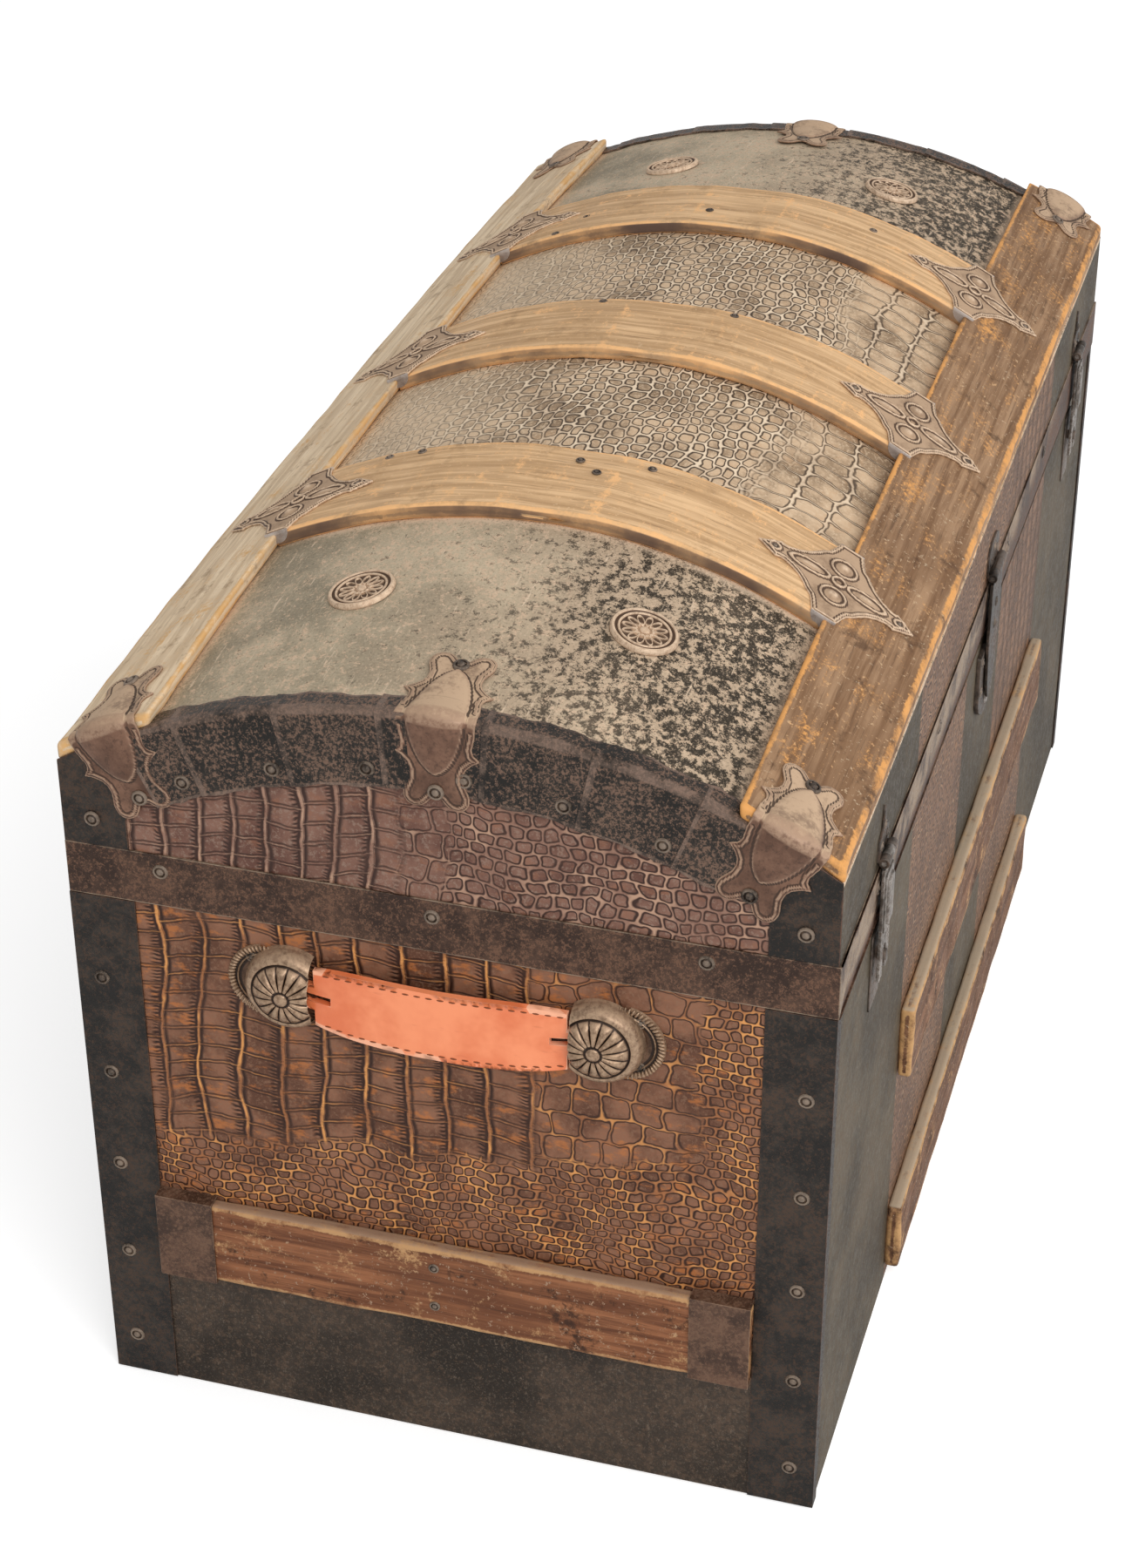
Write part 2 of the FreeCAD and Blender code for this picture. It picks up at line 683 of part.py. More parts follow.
def rosettes():
    """Stamped roses: a raised rim round a ring of petals and a centre nail."""
    rose = body("rosette")
    dish = "(rosette_height * 0.4)"
    inner = "(rosette_radius - rosette_rim)"
    pad(rose, star(rose, "XY_Plane", "0", "0", ["rosette_radius"], ROSETTE_SIDES), "rosette_height * 0.8")
    hollow = star(rose, "XY_Plane", "0", "0", [inner], ROSETTE_SIDES, "rosette_height * 0.8")
    pocket(rose, hollow, f"rosette_height * 0.8 - {dish}")
    petal_middle = "(rosette_nail_radius + petal_gap + petal_length / 2)"
    petal = outline(rose, "XY_Plane", [
        ("rosette_nail_radius + petal_gap", "0"), (petal_middle, "-petal_width / 2"),
        (f"{petal_middle} + petal_length / 2", "0"), (petal_middle, "petal_width / 2")])
    polar(rose, pad(rose, petal, "rosette_height * 0.7"), petal, "N_Axis", "petal_count")
    pad(rose, star(rose, "XY_Plane", "0", "0", ["rosette_nail_radius"], NAIL_SIDES), "rosette_height")
    lean = Rotation(ACROSS_LENGTH, value(f"asin(rosette_y / {skin_radius})"))
    seat = lean.multVec(Vector(0, 0, value(skin_radius)))
    rose.Placement = Placement(seat + Vector(-value(rosette_x), 0, value(dome_axis)), lean)
    group("rosettes", four_ways("rosette", rose))


# Hinged fittings. Each is made about its own pin: the pin runs along X through the origin,
# the face that it is mounted on lies at +Y and the outside is at -Y.

def bore(owner, radius, width):
    hole = circle(owner, "YZ_Plane", "0", "0", f"{radius} + pin_clearance")
    return pocket(owner, hole, f"2 * {width}", midplane=True)


def pin(name, x, y, z, radius, width):
    """A pin of its own along X, as long as its knuckles and centred on x."""
    cylinder = doc.addObject("Part::Cylinder", name)
    cylinder.Placement.Rotation = Rotation(Vector(0, 1, 0), 90)
    bind(cylinder, Radius=radius, Height=width)
    return put(cylinder, f"{x} - {width} / 2", y, z)


def outer_spans(width, middle):
    length = f"(({width} - {middle}) / 2 - knuckle_gap)"
    return [(f"-{width} / 2", length), (f"{middle} / 2 + knuckle_gap", length)]


def knuckle_roll(owner, radius, start, length):
    """The leaf's edge rolled round the pin, drawn with twelve flats."""
    return pad(owner, star(owner, "YZ_Plane", "0", "0", [radius], KNUCKLE_SIDES, start), length)


def leaf(name, corners, thickness, face, radius, spans, side):
    """A flat leaf with knuckles over some spans of its pin. side is 1 above the pin, -1 below it."""
    plate = body(name)
    pad(plate, outline(plate, "XZ_Plane", corners, f"-{face}"), thickness)
    for start, length in spans:
        knuckle_roll(plate, radius, start, length)
        foot = "0" if side > 0 else f"-{radius}"
        web = rectangle(plate, "YZ_Plane", f"{face} - {thickness}", foot, thickness, radius, start)
        pad(plate, web, length)
    return plate


def rear_hinges():
    lower = []
    upper = []
    pins = []
    half = "hinge_width / 2"
    radius = "hinge_knuckle_radius"
    far = "(hinge_knuckle_radius + hinge_leaf_length)"
    middle = "(hinge_width / 3)"
    for index, x in enumerate((f"-{hinge_x}", "0", hinge_x)):
        below = [
            (f"-{half}", f"-{far}"), (half, f"-{far}"), (half, f"-{radius}"), (f"-{half}", f"-{radius}")]
        plate = leaf(f"hinge_lower{index}", below, "hinge_leaf", f"({hinge_axis_y} - {body_side_face})",
                     radius, outer_spans("hinge_width", middle), -1)
        above = [(f"-{half}", radius), (half, radius), (half, far), (f"-{half}", far)]
        cover = leaf(f"hinge_upper{index}", above, "hinge_leaf", f"({hinge_axis_y} - {lid_side_face})",
                     radius, [(f"-{middle} / 2", middle)], 1)
        for piece in (plate, cover):
            bore(piece, "hinge_pin_radius", "hinge_width")
            piece.Placement.Rotation = Rotation(Vector(0, 0, 1), 180)
            put(piece, x, hinge_axis_y, seam_middle)
        lower.append(plate)
        upper.append(cover)
        name = f"hinge_pin{index}"
        pins.append(pin(name, x, hinge_axis_y, seam_middle, "hinge_pin_radius", "hinge_width"))
    group("hinge_lower_leaves", lower)
    group("hinge_upper_leaves", upper)
    group("hinge_pins", pins)


fitting_y = f"-({lid_side_face} + fitting_stand_off)"


def hasp_and_lock():
    half = "hasp_width / 2"
    knuckle = "hasp_knuckle_width / 2"
    radius = "fitting_knuckle_radius"
    top = f"({radius} + hasp_plate_height)"
    ear = f"{top} - hasp_plate_height / 3"
    sweep = "-hasp_plate_height / 12"
    corners = [
        (f"-{half}", radius), (half, radius), (half, ear, sweep), ("hasp_width / 6", top),
        ("-hasp_width / 6", top, sweep), (f"-{half}", ear)]
    plate = leaf("hasp_hinge_plate", corners, "fitting_leaf", "fitting_stand_off", radius,
                 outer_spans("hasp_width", "hasp_knuckle_width"), 1)
    bore(plate, "fitting_pin_radius", "hasp_width")
    put(plate, "0", fitting_y, fitting_z)

    hasp = body("hasp")
    shoulder = f"({radius} + fitting_leaf)"
    tip = "(hasp_length - hasp_tip_width / 2)"
    right = [
        ("hasp_tip_width / 4", "-hasp_length"), ("hasp_tip_width / 2", f"-{tip}"),
        (half, "-hasp_length / 2"), (half, f"-{shoulder}"), (knuckle, f"-{shoulder}"), (knuckle, "0")]
    corners = right + [(f"-({x})", z) for x, z in reversed(right)]
    pad(hasp, outline(hasp, "XZ_Plane", corners, "-tongue_thickness / 2"), "tongue_thickness")
    knuckle_roll(hasp, radius, f"-{knuckle}", "hasp_knuckle_width")
    staple_z = f"({lock_z} + lock_height / 2 - {fitting_z} - staple_height / 2)"
    staple = rectangle(hasp, "XZ_Plane", "-staple_width / 2", staple_z, "staple_width", "staple_height",
                       "-tongue_thickness / 2")
    pad(hasp, staple, "staple_reach", backwards=True)
    bore(hasp, "fitting_pin_radius", "hasp_width")
    node("hasp", put(hasp, "0", fitting_y, fitting_z))

    lock = body("lock_case")
    wide = "lock_width / 2"
    sweep = "-lock_width / 14"
    corners = [
        (f"-{wide}", "lock_height"), (f"-{wide}", "lock_height / 3", sweep), ("0", "0", sweep),
        (wide, "lock_height / 3"), (wide, "lock_height")]
    pad(lock, outline(lock, "XZ_Plane", corners), "lock_depth")
    notch_x = "(staple_width / 2 + staple_clearance)"
    notch_z = "(lock_height / 2 - staple_height / 2 - staple_clearance)"
    notch = rectangle(lock, "XZ_Plane", f"-{notch_x}", notch_z, f"2 * {notch_x}", f"lock_height - {notch_z}")
    pocket(lock, notch, "2 * lock_depth", midplane=True)
    node("lock_case", put(lock, "0", f"-{body_side_face}", lock_z))
    return plate


def draw_latch(side, x):
    half = "latch_width / 2"
    knuckle = "latch_knuckle_width / 2"
    radius = "fitting_knuckle_radius"
    side_height = f"{radius} + latch_tail_height / 3"
    waist_height = f"{radius} + latch_tail_height / 2"
    corners = [
        (f"-{half}", radius), (half, radius), (half, side_height), (f"{half} / 3", waist_height),
        ("0", f"{radius} + latch_tail_height"), (f"-{half} / 3", waist_height), (f"-{half}", side_height)]
    plate = leaf(f"{side}_latch_plate", corners, "fitting_leaf", "fitting_stand_off", radius,
                 outer_spans("latch_width", "latch_knuckle_width"), 1)
    bore(plate, "fitting_pin_radius", "latch_width")
    put(plate, x, fitting_y, fitting_z)

    tongue = body(f"{side}_latch_tongue")
    shoulder = f"({radius} + fitting_leaf)"
    slot = "(post_radius + post_clearance)"
    slot_z = f"({post_z} + post_play - {fitting_z})"
    corners = [
        (f"-{knuckle}", "0"), (f"-{knuckle}", f"-{shoulder}"), (f"-{half}", f"-{shoulder}"),
        (f"-{half}", "-latch_length"), (f"-{slot}", "-latch_length"), (f"-{slot}", slot_z, f"{slot} * 0.9"),
        (slot, slot_z), (slot, "-latch_length"), (half, "-latch_length"), (half, f"-{shoulder}"),
        (knuckle, f"-{shoulder}"), (knuckle, "0")]
    pad(tongue, outline(tongue, "XZ_Plane", corners, "-tongue_thickness / 2"), "tongue_thickness")
    knuckle_roll(tongue, radius, f"-{knuckle}", "latch_knuckle_width")
    bore(tongue, "fitting_pin_radius", "latch_width")
    node(f"{side}_latch_tongue", put(tongue, x, fitting_y, fitting_z))

    catch = body(f"{side}_latch_catch")
    backing = rectangle(catch, "XZ_Plane", f"-{half}", "0", "latch_width", "catch_height")
    pad(catch, backing, "catch_plate")
    catch_post = circle(catch, "XZ_Plane", "0", f"{post_z} - {catch_z}", "post_radius")
    pad(catch, catch_post, "catch_plate + post_reach")
    put(catch, x, f"-{body_side_face}", catch_z)
    return plate, catch


# Leather handles, made at the left end and mirrored to the right

def handle_cap():
    """A stamped cap: a plain collar round a fluted dome, open to the strap, on a flange with a rope edge.
    It is made about the dome's centre, with the mouth at -Y and the outside at -X."""
    cap = body("handle_cap")
    flange_y = "(cap_flange_offset - cap_centre_offset)"
    flange = star(cap, "YZ_Plane", flange_y, "0", ["cap_flange_radius"], CAP_SIDES)
    pad(cap, flange, "cap_flange", backwards=True)
    rope_radii = ["cap_flange_radius", "(cap_flange_radius - rope_notch)"]
    rope = star(cap, "YZ_Plane", flange_y, "0", rope_radii, 2 * CAP_SIDES)
    pad(cap, rope, "cap_bead_height", backwards=True)
    border = star(cap, "YZ_Plane", flange_y, "0", ["(cap_flange_radius - cap_bead_width)"], CAP_SIDES,
                  "-cap_bead_height")
    pocket(cap, border, "cap_bead_height - cap_flange", backwards=True)

    collar = [
        ("0", "0"), ("-cap_collar_height", "0"), ("-cap_collar_height", "cap_shoulder_radius"),
        ("-cap_collar_height * 0.6", "cap_collar_radius"), ("0", "cap_collar_radius")]
    revolve(cap, "Revolution", outline(cap, "XY_Plane", collar), "H_Axis")
    crown = "(cap_dome_height - cap_collar_height)"
    flutes = []
    for share, radius in (("0", "cap_dome_radius"), ("1", "rib_start")):
        radii = [radius, f"({radius} - rib_height * {radius} / cap_dome_radius)"]
        height = f"-(cap_collar_height + {crown} * {share})"
        flutes.append(star(cap, "YZ_Plane", "0", "0", radii, 2 * RIB_COUNT, height))
    loft(cap, flutes)
    boss = star(cap, "YZ_Plane", "0", "0", ["rib_start"], NAIL_SIDES, "-cap_dome_height - cap_boss_height")
    pad(cap, boss, "cap_boss_height + cap_shell")
    for radius, depth in (("(cap_collar_radius - cap_shell)", "cap_collar_height * 0.6 - cap_shell / 2"),
                          ("(cap_shoulder_radius - cap_shell)", "cap_collar_height - cap_ceiling")):
        hollow = star(cap, "YZ_Plane", "0", "0", [radius], CAP_SIDES)
        pocket(cap, hollow, depth)
    mouth = rectangle(cap, "XY_Plane", "-2 * cap_dome_height", "-2 * cap_collar_radius",
                      "3 * cap_dome_height", "2 * cap_collar_radius - cap_centre_offset")
    pocket(cap, mouth, "4 * cap_collar_radius", midplane=True)
    put(cap, f"-{body_end_face}", "mouth_y + cap_centre_offset", handle_z)
    group("handle_caps", four_ways("handle_cap", cap))


def handle_strap():
    strap = body("left_handle_strap")
    outside = "-(strap_end_height + strap_thickness / 2)"
    inside = "-(strap_end_height - strap_thickness / 2)"
    corners = [(outside, "-strap_tab_end", "strap_bow"), (outside, "strap_tab_end"),
               (inside, "strap_tab_end", "-strap_bow"), (inside, "-strap_tab_end")]
    pad(strap, outline(strap, "XY_Plane", corners), "strap_width", midplane=True)
    shoulder = "(mouth_y - strap_shoulder_gap)"
    spare = "(strap_width - strap_tab_width)"
    for y in (shoulder, f"-({shoulder} + 2 * strap_tab_end)"):
        for z in ("strap_tab_width / 2", f"-(strap_tab_width / 2 + {spare})"):
            corner = rectangle(strap, "YZ_Plane", y, z, "2 * strap_tab_end", spare)
            pocket(strap, corner, "4 * (strap_end_height + strap_bow + strap_thickness)", midplane=True)
    half = "slot_width / 2"
    for side in ("", "-"):
        near = f"{side}slot_start"
        far = f"{side}slot_end"
        slot = outline(strap, "YZ_Plane", [(near, f"-{half}"), (far, f"-{half}"), (far, half), (near, half)])
        pocket(strap, slot, "4 * (strap_end_height + strap_bow + strap_thickness)", midplane=True)
    put(strap, f"-{body_end_face}", "0", handle_z)
    node("left_handle_strap", strap)
    node("right_handle_strap", mirrored("right_handle_strap", strap, ACROSS_LENGTH))


def handle_studs():
    stud = body("handle_stud")
    shank = star(stud, "YZ_Plane", "0", "0", ["stud_radius"], NAIL_SIDES)
    pad(stud, shank, "stud_height", backwards=True)
    top = "-(stud_height + stud_head_height)"
    head = star(stud, "YZ_Plane", "0", "0", ["stud_head_radius"], NAIL_SIDES, top)
    pad(stud, head, "stud_head_height")
    put(stud, f"-{body_end_face}", "stud_y", handle_z)
    group("handle_studs", four_ways("handle_stud", stud))


body_boards()
body_skins()
corner_strips()
body_slats()
lid_boards()
dome_staves()
dome_skins()
dome_slats()
lid_trims()
end_clamps()
slat_clamps()
rosettes()
rear_hinges()
hasp_plate = hasp_and_lock()
left_plate, left_catch = draw_latch("left", f"-{latch_x}")
right_plate, right_catch = draw_latch("right", latch_x)
group("fitting_hinge_plates", [hasp_plate, left_plate, right_plate])
group("latch_catches", [left_catch, right_catch])
group("fitting_pins", [
    pin("hasp_pin", "0", fitting_y, fitting_z, "fitting_pin_radius", "hasp_width"),
    pin("left_latch_pin", f"-{latch_x}", fitting_y, fitting_z, "fitting_pin_radius", "latch_width"),
    pin("right_latch_pin", latch_x, fitting_y, fitting_z, "fitting_pin_radius", "latch_width")])
handle_cap()
handle_strap()
handle_studs()
doc.recompute()

for item in doc.Objects:
    if "Invalid" in item.State or "Error" in item.State:
        raise RuntimeError(f"{item.Name} did not build: {item.State}")
for piece in nodes:
    if piece.Shape.isNull() or not piece.Shape.isValid():
        raise RuntimeError(f"{piece.Label} has no valid shape")
os.makedirs("parts", exist_ok=True)
for piece in nodes:
    piece.Shape.exportStep(f"parts/{piece.Label}.step")
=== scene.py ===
from math import asin, atan2, cos, hypot, pi, radians, sin, sqrt, tau

import bpy
import numpy as np
from mathutils import Matrix, Vector
from mathutils.bvhtree import BVHTree


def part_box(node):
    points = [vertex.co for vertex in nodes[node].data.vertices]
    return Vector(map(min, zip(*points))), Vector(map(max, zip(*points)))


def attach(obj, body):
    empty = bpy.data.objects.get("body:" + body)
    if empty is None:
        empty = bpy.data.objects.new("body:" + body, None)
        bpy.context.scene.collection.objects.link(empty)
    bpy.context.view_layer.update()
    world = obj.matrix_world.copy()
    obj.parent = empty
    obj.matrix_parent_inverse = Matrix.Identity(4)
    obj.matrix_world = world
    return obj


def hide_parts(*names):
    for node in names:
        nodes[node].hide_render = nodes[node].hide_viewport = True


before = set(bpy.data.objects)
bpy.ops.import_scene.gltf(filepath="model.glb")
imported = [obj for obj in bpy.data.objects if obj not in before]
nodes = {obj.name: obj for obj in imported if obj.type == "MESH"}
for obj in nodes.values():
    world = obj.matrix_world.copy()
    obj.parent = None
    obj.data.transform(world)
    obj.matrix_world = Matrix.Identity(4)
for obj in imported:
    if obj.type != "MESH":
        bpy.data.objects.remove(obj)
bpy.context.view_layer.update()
bpy.ops.object.select_all(action="DESELECT")

print("stage and camera")

stageSizes = {"floor": 24.0, "floorShade": 0.86, "floorGlow": 0.47, "sky": 0.56, "lampPower": 66.0,
        "lampSize": 2.2}
view = {
    "place": (-1.79882, -0.47111, 1.35769),
    "right": (0.283518, -0.958963, -0.002881),
    "up": (0.509147, 0.147982, 0.847863),
    "back": (-0.812642, -0.241851, 0.530208),
    "lens": 72.29,
}
camera = bpy.data.objects.new("studioCamera", bpy.data.cameras.new("studioCamera"))
bpy.context.scene.collection.objects.link(camera)
camera.matrix_world = Matrix.Translation(Vector(view["place"])) @ Matrix(
    [[view[side][row] for side in ("right", "up", "back")] for row in range(3)]).to_4x4()
camera.data.lens = view["lens"]
camera.data.sensor_fit = "AUTO"
camera.data.sensor_width = 36.0
bpy.context.scene.camera = camera
bpy.context.scene.view_settings.view_transform = "Standard"


class Value:
    # a socket that takes part in sums
    def __init__(self, finish, socket):
        self.finish = finish
        self.socket = socket

    def __abs__(self):
        return self.finish.sum("ABSOLUTE", self)

    def fraction(self):
        return self.finish.sum("FRACT", self)

    def whole(self):
        return self.finish.sum("FLOOR", self)

    def most(self, other):
        return self.finish.sum("MAXIMUM", self, other)

    def rise(self, low, high, start=0.0, stop=1.0):
        return self.finish.node("MapRange", {"interpolation_type": "SMOOTHSTEP"},
                {"Value": self, "From Min": low, "From Max": high, "To Min": start, "To Max": stop})

    def cross(self, first, second):
        return first + (second - first) * self

    def blend(self, first, second):
        return self.finish.node("Mix", {"data_type": "RGBA"}, {0: self, 6: first, 7: second}, 2)


for word, operation in (("add", "ADD"), ("sub", "SUBTRACT"), ("mul", "MULTIPLY"), ("truediv", "DIVIDE")):
    setattr(Value, f"__{word}__", lambda one, other, kind=operation: one.finish.sum(kind, one, other))
    setattr(Value, f"__r{word}__", lambda one, other, kind=operation: one.finish.sum(kind, other, one))


class Finish:
    # one material, built from its Principled shader outwards and painted coat by coat
    def __init__(self, name, colours={}, roughness=0.5, metallic=0.0, coat=0.0, sheen=0.3):
        self.material = bpy.data.materials.new(name)
        self.material.use_nodes = True
        self.tree = self.material.node_tree
        self.shader = self.tree.nodes["Principled BSDF"]
        self.put("Roughness", roughness)
        self.put("Metallic", metallic)
        self.put("Coat Weight", coat)
        self.put("Specular IOR Level", sheen)
        self.place = self.node("TexCoord", out="Object")
        self.axes = {}
        self.colours = colours
        self.colour = colours.get("dark")

    def node(self, kind, settings={}, sockets={}, out=0):
        made = self.tree.nodes.new("ShaderNode" + kind)
        for name, setting in settings.items():
            setattr(made, name, setting)
        for name, given in sockets.items():
            self.plug(made.inputs[name], given)
        return Value(self, made.outputs[out])

    def plug(self, socket, given):
        if isinstance(given, Value):
            self.tree.links.new(given.socket, socket)
        elif socket.type == "RGBA" and len(given) == 3:
            socket.default_value = (*given, 1.0)
        else:
            socket.default_value = given

    def put(self, name, given):
        self.plug(self.shader.inputs[name], given)

    def sum(self, operation, *terms):
        return self.node("Math", {"operation": operation}, dict(enumerate(terms)))

    def paint(self, mask, tone):
        # one more coat over the colours so far
        self.colour = mask.blend(self.colour, self.colours[tone] if isinstance(tone, str) else tone)
        self.put("Base Color", self.colour)

    def axis(self, name):
        if not self.axes:
            split = self.node("SeparateXYZ", {}, {0: self.place})
            outputs = split.socket.node.outputs
            self.axes = {letter: Value(self, outputs[letter]) for letter in "XYZ"}
        return self.axes[name]

    def relief(self):
        return self.node("Attribute", {"attribute_name": "relief"}, {}, "Fac")

    def facing(self, axis):
        return self.node("SeparateXYZ", {}, {0: self.node("TexCoord", out="Normal")}, axis)

    def stretched(self, x, y, z, turn=(0.0, 0.0, 0.0)):
        return self.node("Mapping", {}, {"Vector": self.place, "Scale": (x, y, z), "Rotation": turn})

    def noise(self, scale, detail=3.0, at=None, distortion=0.0, roughness=0.55):
        return self.node("TexNoise", {}, {"Vector": at or self.place, "Scale": scale, "Detail": detail,
                "Roughness": roughness, "Distortion": distortion})

    def chance(self, whole):
        # one number between 0 and 1 for each whole number
        return self.node("TexWhiteNoise", {"noise_dimensions": "1D"}, {"W": whole})

    def scales(self, u, v, cell, square=False):
        # scales in staggered rows: 0 in the middle of each, 1 and more in the net between them
        row = v / cell[1]
        across = (u / cell[0] + row.whole() * 0.5 + self.chance(row.whole()) * 0.35).fraction() * 2.0 - 1.0
        up = row.fraction() * 2.0 - 1.0
        across, up = across * across, up * up
        if square:
            return across * across * across + up * up * up
        return across * across + up * up

    def bump(self, height, distance, strength=1.0):
        self.put("Normal", self.node("Bump", {}, {"Height": height, "Distance": distance,
                "Strength": strength}))


def buildStage():
    bpy.ops.mesh.primitive_plane_add(size=stageSizes["floor"], location=(0, 0, 0))
    floor = bpy.context.object
    floor.name = "floor"
    finish = Finish("paleFloor", roughness=0.9)
    shade = stageSizes["floorShade"]
    finish.put("Base Color", (shade, shade, shade))
    tree = finish.tree
    glow = tree.nodes.new("ShaderNodeEmission")
    glow.inputs["Strength"].default_value = stageSizes["floorGlow"]
    seen = finish.node("LightPath", {}, {}, "Is Camera Ray")
    lift = finish.node("MixShader", {}, {0: seen})
    lifted = finish.node("AddShader", {}, {})
    tree.links.new(finish.shader.outputs[0], lifted.socket.node.inputs[0])
    tree.links.new(glow.outputs[0], lifted.socket.node.inputs[1])
    tree.links.new(finish.shader.outputs[0], lift.socket.node.inputs[1])
    tree.links.new(lifted.socket, lift.socket.node.inputs[2])
    tree.links.new(lift.socket, tree.nodes["Material Output"].inputs["Surface"])
    floor.data.materials.append(finish.material)

    world = bpy.data.worlds.new("studio")
    bpy.context.scene.world = world
    world.use_nodes = True
    sky = world.node_tree.nodes["Background"]
    sky.inputs["Color"].default_value = (1.0, 1.0, 1.0, 1.0)
    path = world.node_tree.nodes.new("ShaderNodeLightPath")
    ambient = stageSizes["sky"]
    scaled = world.node_tree.nodes.new("ShaderNodeMath")
    scaled.operation = "MULTIPLY_ADD"
    world.node_tree.links.new(path.outputs["Is Camera Ray"], scaled.inputs[0])
    scaled.inputs[1].default_value = 1.0 - ambient
    scaled.inputs[2].default_value = ambient
    world.node_tree.links.new(scaled.outputs[0], sky.inputs["Strength"])

    lamps = {"keyLamp": ((-2.6, -1.6, 2.6), 1.0), "fillLamp": ((0.4, -3.4, 1.6), 0.55)}
    for name, (place, share) in lamps.items():
        lamp = bpy.data.objects.new(name, bpy.data.lights.new(name, "AREA"))
        bpy.context.scene.collection.objects.link(lamp)
        lamp.data.energy = stageSizes["lampPower"] * share
        lamp.data.size = stageSizes["lampSize"]
        lamp.location = place
        lamp.rotation_euler = (Vector((0, 0, 0.25)) - Vector(place)).to_track_quat("-Z", "Y").to_euler()


buildStage()

print("shape tools")


mergeReach = 0.00002


def only(piece):
    bpy.ops.object.select_all(action="DESELECT")
    bpy.context.view_layer.objects.active = piece
    piece.select_set(True)


def edit(piece, mode="FACE"):
    only(piece)
    bpy.ops.object.mode_set(mode="EDIT")
    bpy.ops.mesh.select_mode(type=mode)
    bpy.ops.mesh.select_all(action="DESELECT")


def done():
    bpy.ops.object.mode_set(mode="OBJECT")


def made(name, size=(1.0, 1.0, 1.0)):
    # the object just added gets its name, and its place and size go into its mesh
    piece = bpy.context.object
    piece.name = name
    piece.scale = size
    bpy.ops.object.transform_apply(location=True, rotation=True, scale=True)
    return piece


def editAll(piece):
    edit(piece)
    bpy.ops.mesh.select_all(action="SELECT")


def cut(place, normal, **more):
    # the whole mesh in edit mode is cut by a plane
    bpy.ops.mesh.select_all(action="SELECT")
    bpy.ops.mesh.bisect(plane_co=place, plane_no=normal, **more)


def slices(low, high, axis, count):
    # even cuts between two corners, across one axis
    across = [0.0, 0.0, 0.0]
    across[axis] = 1.0
    for step in range(1, count):
        place = list(low)
        place[axis] += (high[axis] - low[axis]) * step / count
        cut(place, across)


def settle(piece, smooth=35.0):
    # its place goes into its mesh, doubles are merged and faces turned outwards
    only(piece)
    bpy.ops.object.transform_apply(location=True, rotation=True, scale=True)
    editAll(piece)
    bpy.ops.mesh.remove_doubles(threshold=mergeReach)
    bpy.ops.mesh.normals_make_consistent(inside=False)
    done()
    bpy.ops.object.shade_smooth_by_angle(angle=radians(smooth))
    return piece


def modify(piece, kind, **settings):
    only(piece)
    modifier = piece.modifiers.new(kind.lower(), kind)
    for name, setting in settings.items():
        setattr(modifier, name, setting)
    bpy.ops.object.modifier_apply(modifier=modifier.name)
    return piece


def ease(piece, width, segments, **more):
    # the sharp edges are bevelled
    return modify(piece, "BEVEL", width=width, segments=segments, limit_method="ANGLE",
            angle_limit=radians(50), **more)


def copyOf(piece, name, matrix=None):
    twin = piece.copy()
    twin.data = piece.data.copy()
    twin.name = name
    bpy.context.scene.collection.objects.link(twin)
    if matrix is not None:
        twin.data.transform(matrix)
        if matrix.determinant() < 0:
            twin.data.flip_normals()
    return twin


def join(pieces, name):
    bpy.ops.object.select_all(action="DESELECT")
    for piece in pieces:
        piece.select_set(True)
    bpy.context.view_layer.objects.active = pieces[0]
    if len(pieces) > 1:
        bpy.ops.object.join()
    pieces[0].name = name
    pieces[0].data.name = name
    return pieces[0]


def dress(piece, finish, body, *replaced):
    piece.data.materials.clear()
    piece.data.materials.append(finish.material)
    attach(piece, body)
    if replaced:
        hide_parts(*replaced)
    return piece


def markRelief(piece):
    # how far each point stands out of its surroundings: edge wear, painted highlights on what stands out and
    # painted shade in the hollows follow it
    def read(items, key, width, kind=float):
        values = np.empty(len(items) * width, dtype=kind)
        items.foreach_get(key, values)
        return values.reshape(-1, width)

    mesh = piece.data
    count = len(mesh.vertices)
    places, normals = read(mesh.vertices, "co", 3), read(mesh.vertices, "normal", 3)
    ends = read(mesh.edges, "vertices", 2, int)
    first, second = ends.T
    way = places[second] - places[first]
    way /= np.maximum(np.linalg.norm(way, axis=1), 1e-9)[:, None]
    total = np.zeros(count)
    np.add.at(total, first, -(normals[first] * way).sum(axis=1))
    np.add.at(total, second, (normals[second] * way).sum(axis=1))
    share = total / np.maximum(np.bincount(ends.ravel(), minlength=count), 1)
    relief = mesh.attributes.new("relief", "FLOAT", "POINT")
    relief.data.foreach_set("value", (share + 0.5).astype(np.float32))
    return piece


def complete(piece, finish, body, *replaced, smooth=40.0, lifted=False, worn=True):
    if lifted:
        crowned(piece)
    settle(piece, smooth)
    if worn:
        markRelief(piece)
    return dress(piece, finish, body, *replaced)


def block(name, low, high, rounding=0.0015, cuts=0):
    low, high = Vector(low), Vector(high)
    bpy.ops.mesh.primitive_cube_add(size=1.0, location=(low + high) / 2)
    piece = made(name, high - low)
    if rounding:
        edit(piece, "EDGE")
        bpy.ops.mesh.select_all(action="SELECT")
        bpy.ops.mesh.bevel(offset=rounding, segments=2, affect="EDGES")
        done()
    if cuts:
        edit(piece)
        slices(low, high, max(range(3), key=lambda axis: (high - low)[axis]), cuts)
        done()
    return piece


def bead(name, place, size, segments=16, rings=10):
    bpy.ops.mesh.primitive_uv_sphere_add(segments=segments, ring_count=rings, radius=1.0, location=place)
    return made(name, size)


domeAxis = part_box("dome_staves")[1].z - 0.41357
skinRadius = 0.41457
slatRadius = 0.42357
edgingRadius = 0.41577
caseEnd = 0.4572
plateEnd = 0.458
caseSide = 0.222
slatColumns = (-0.22, 0.0, 0.22)


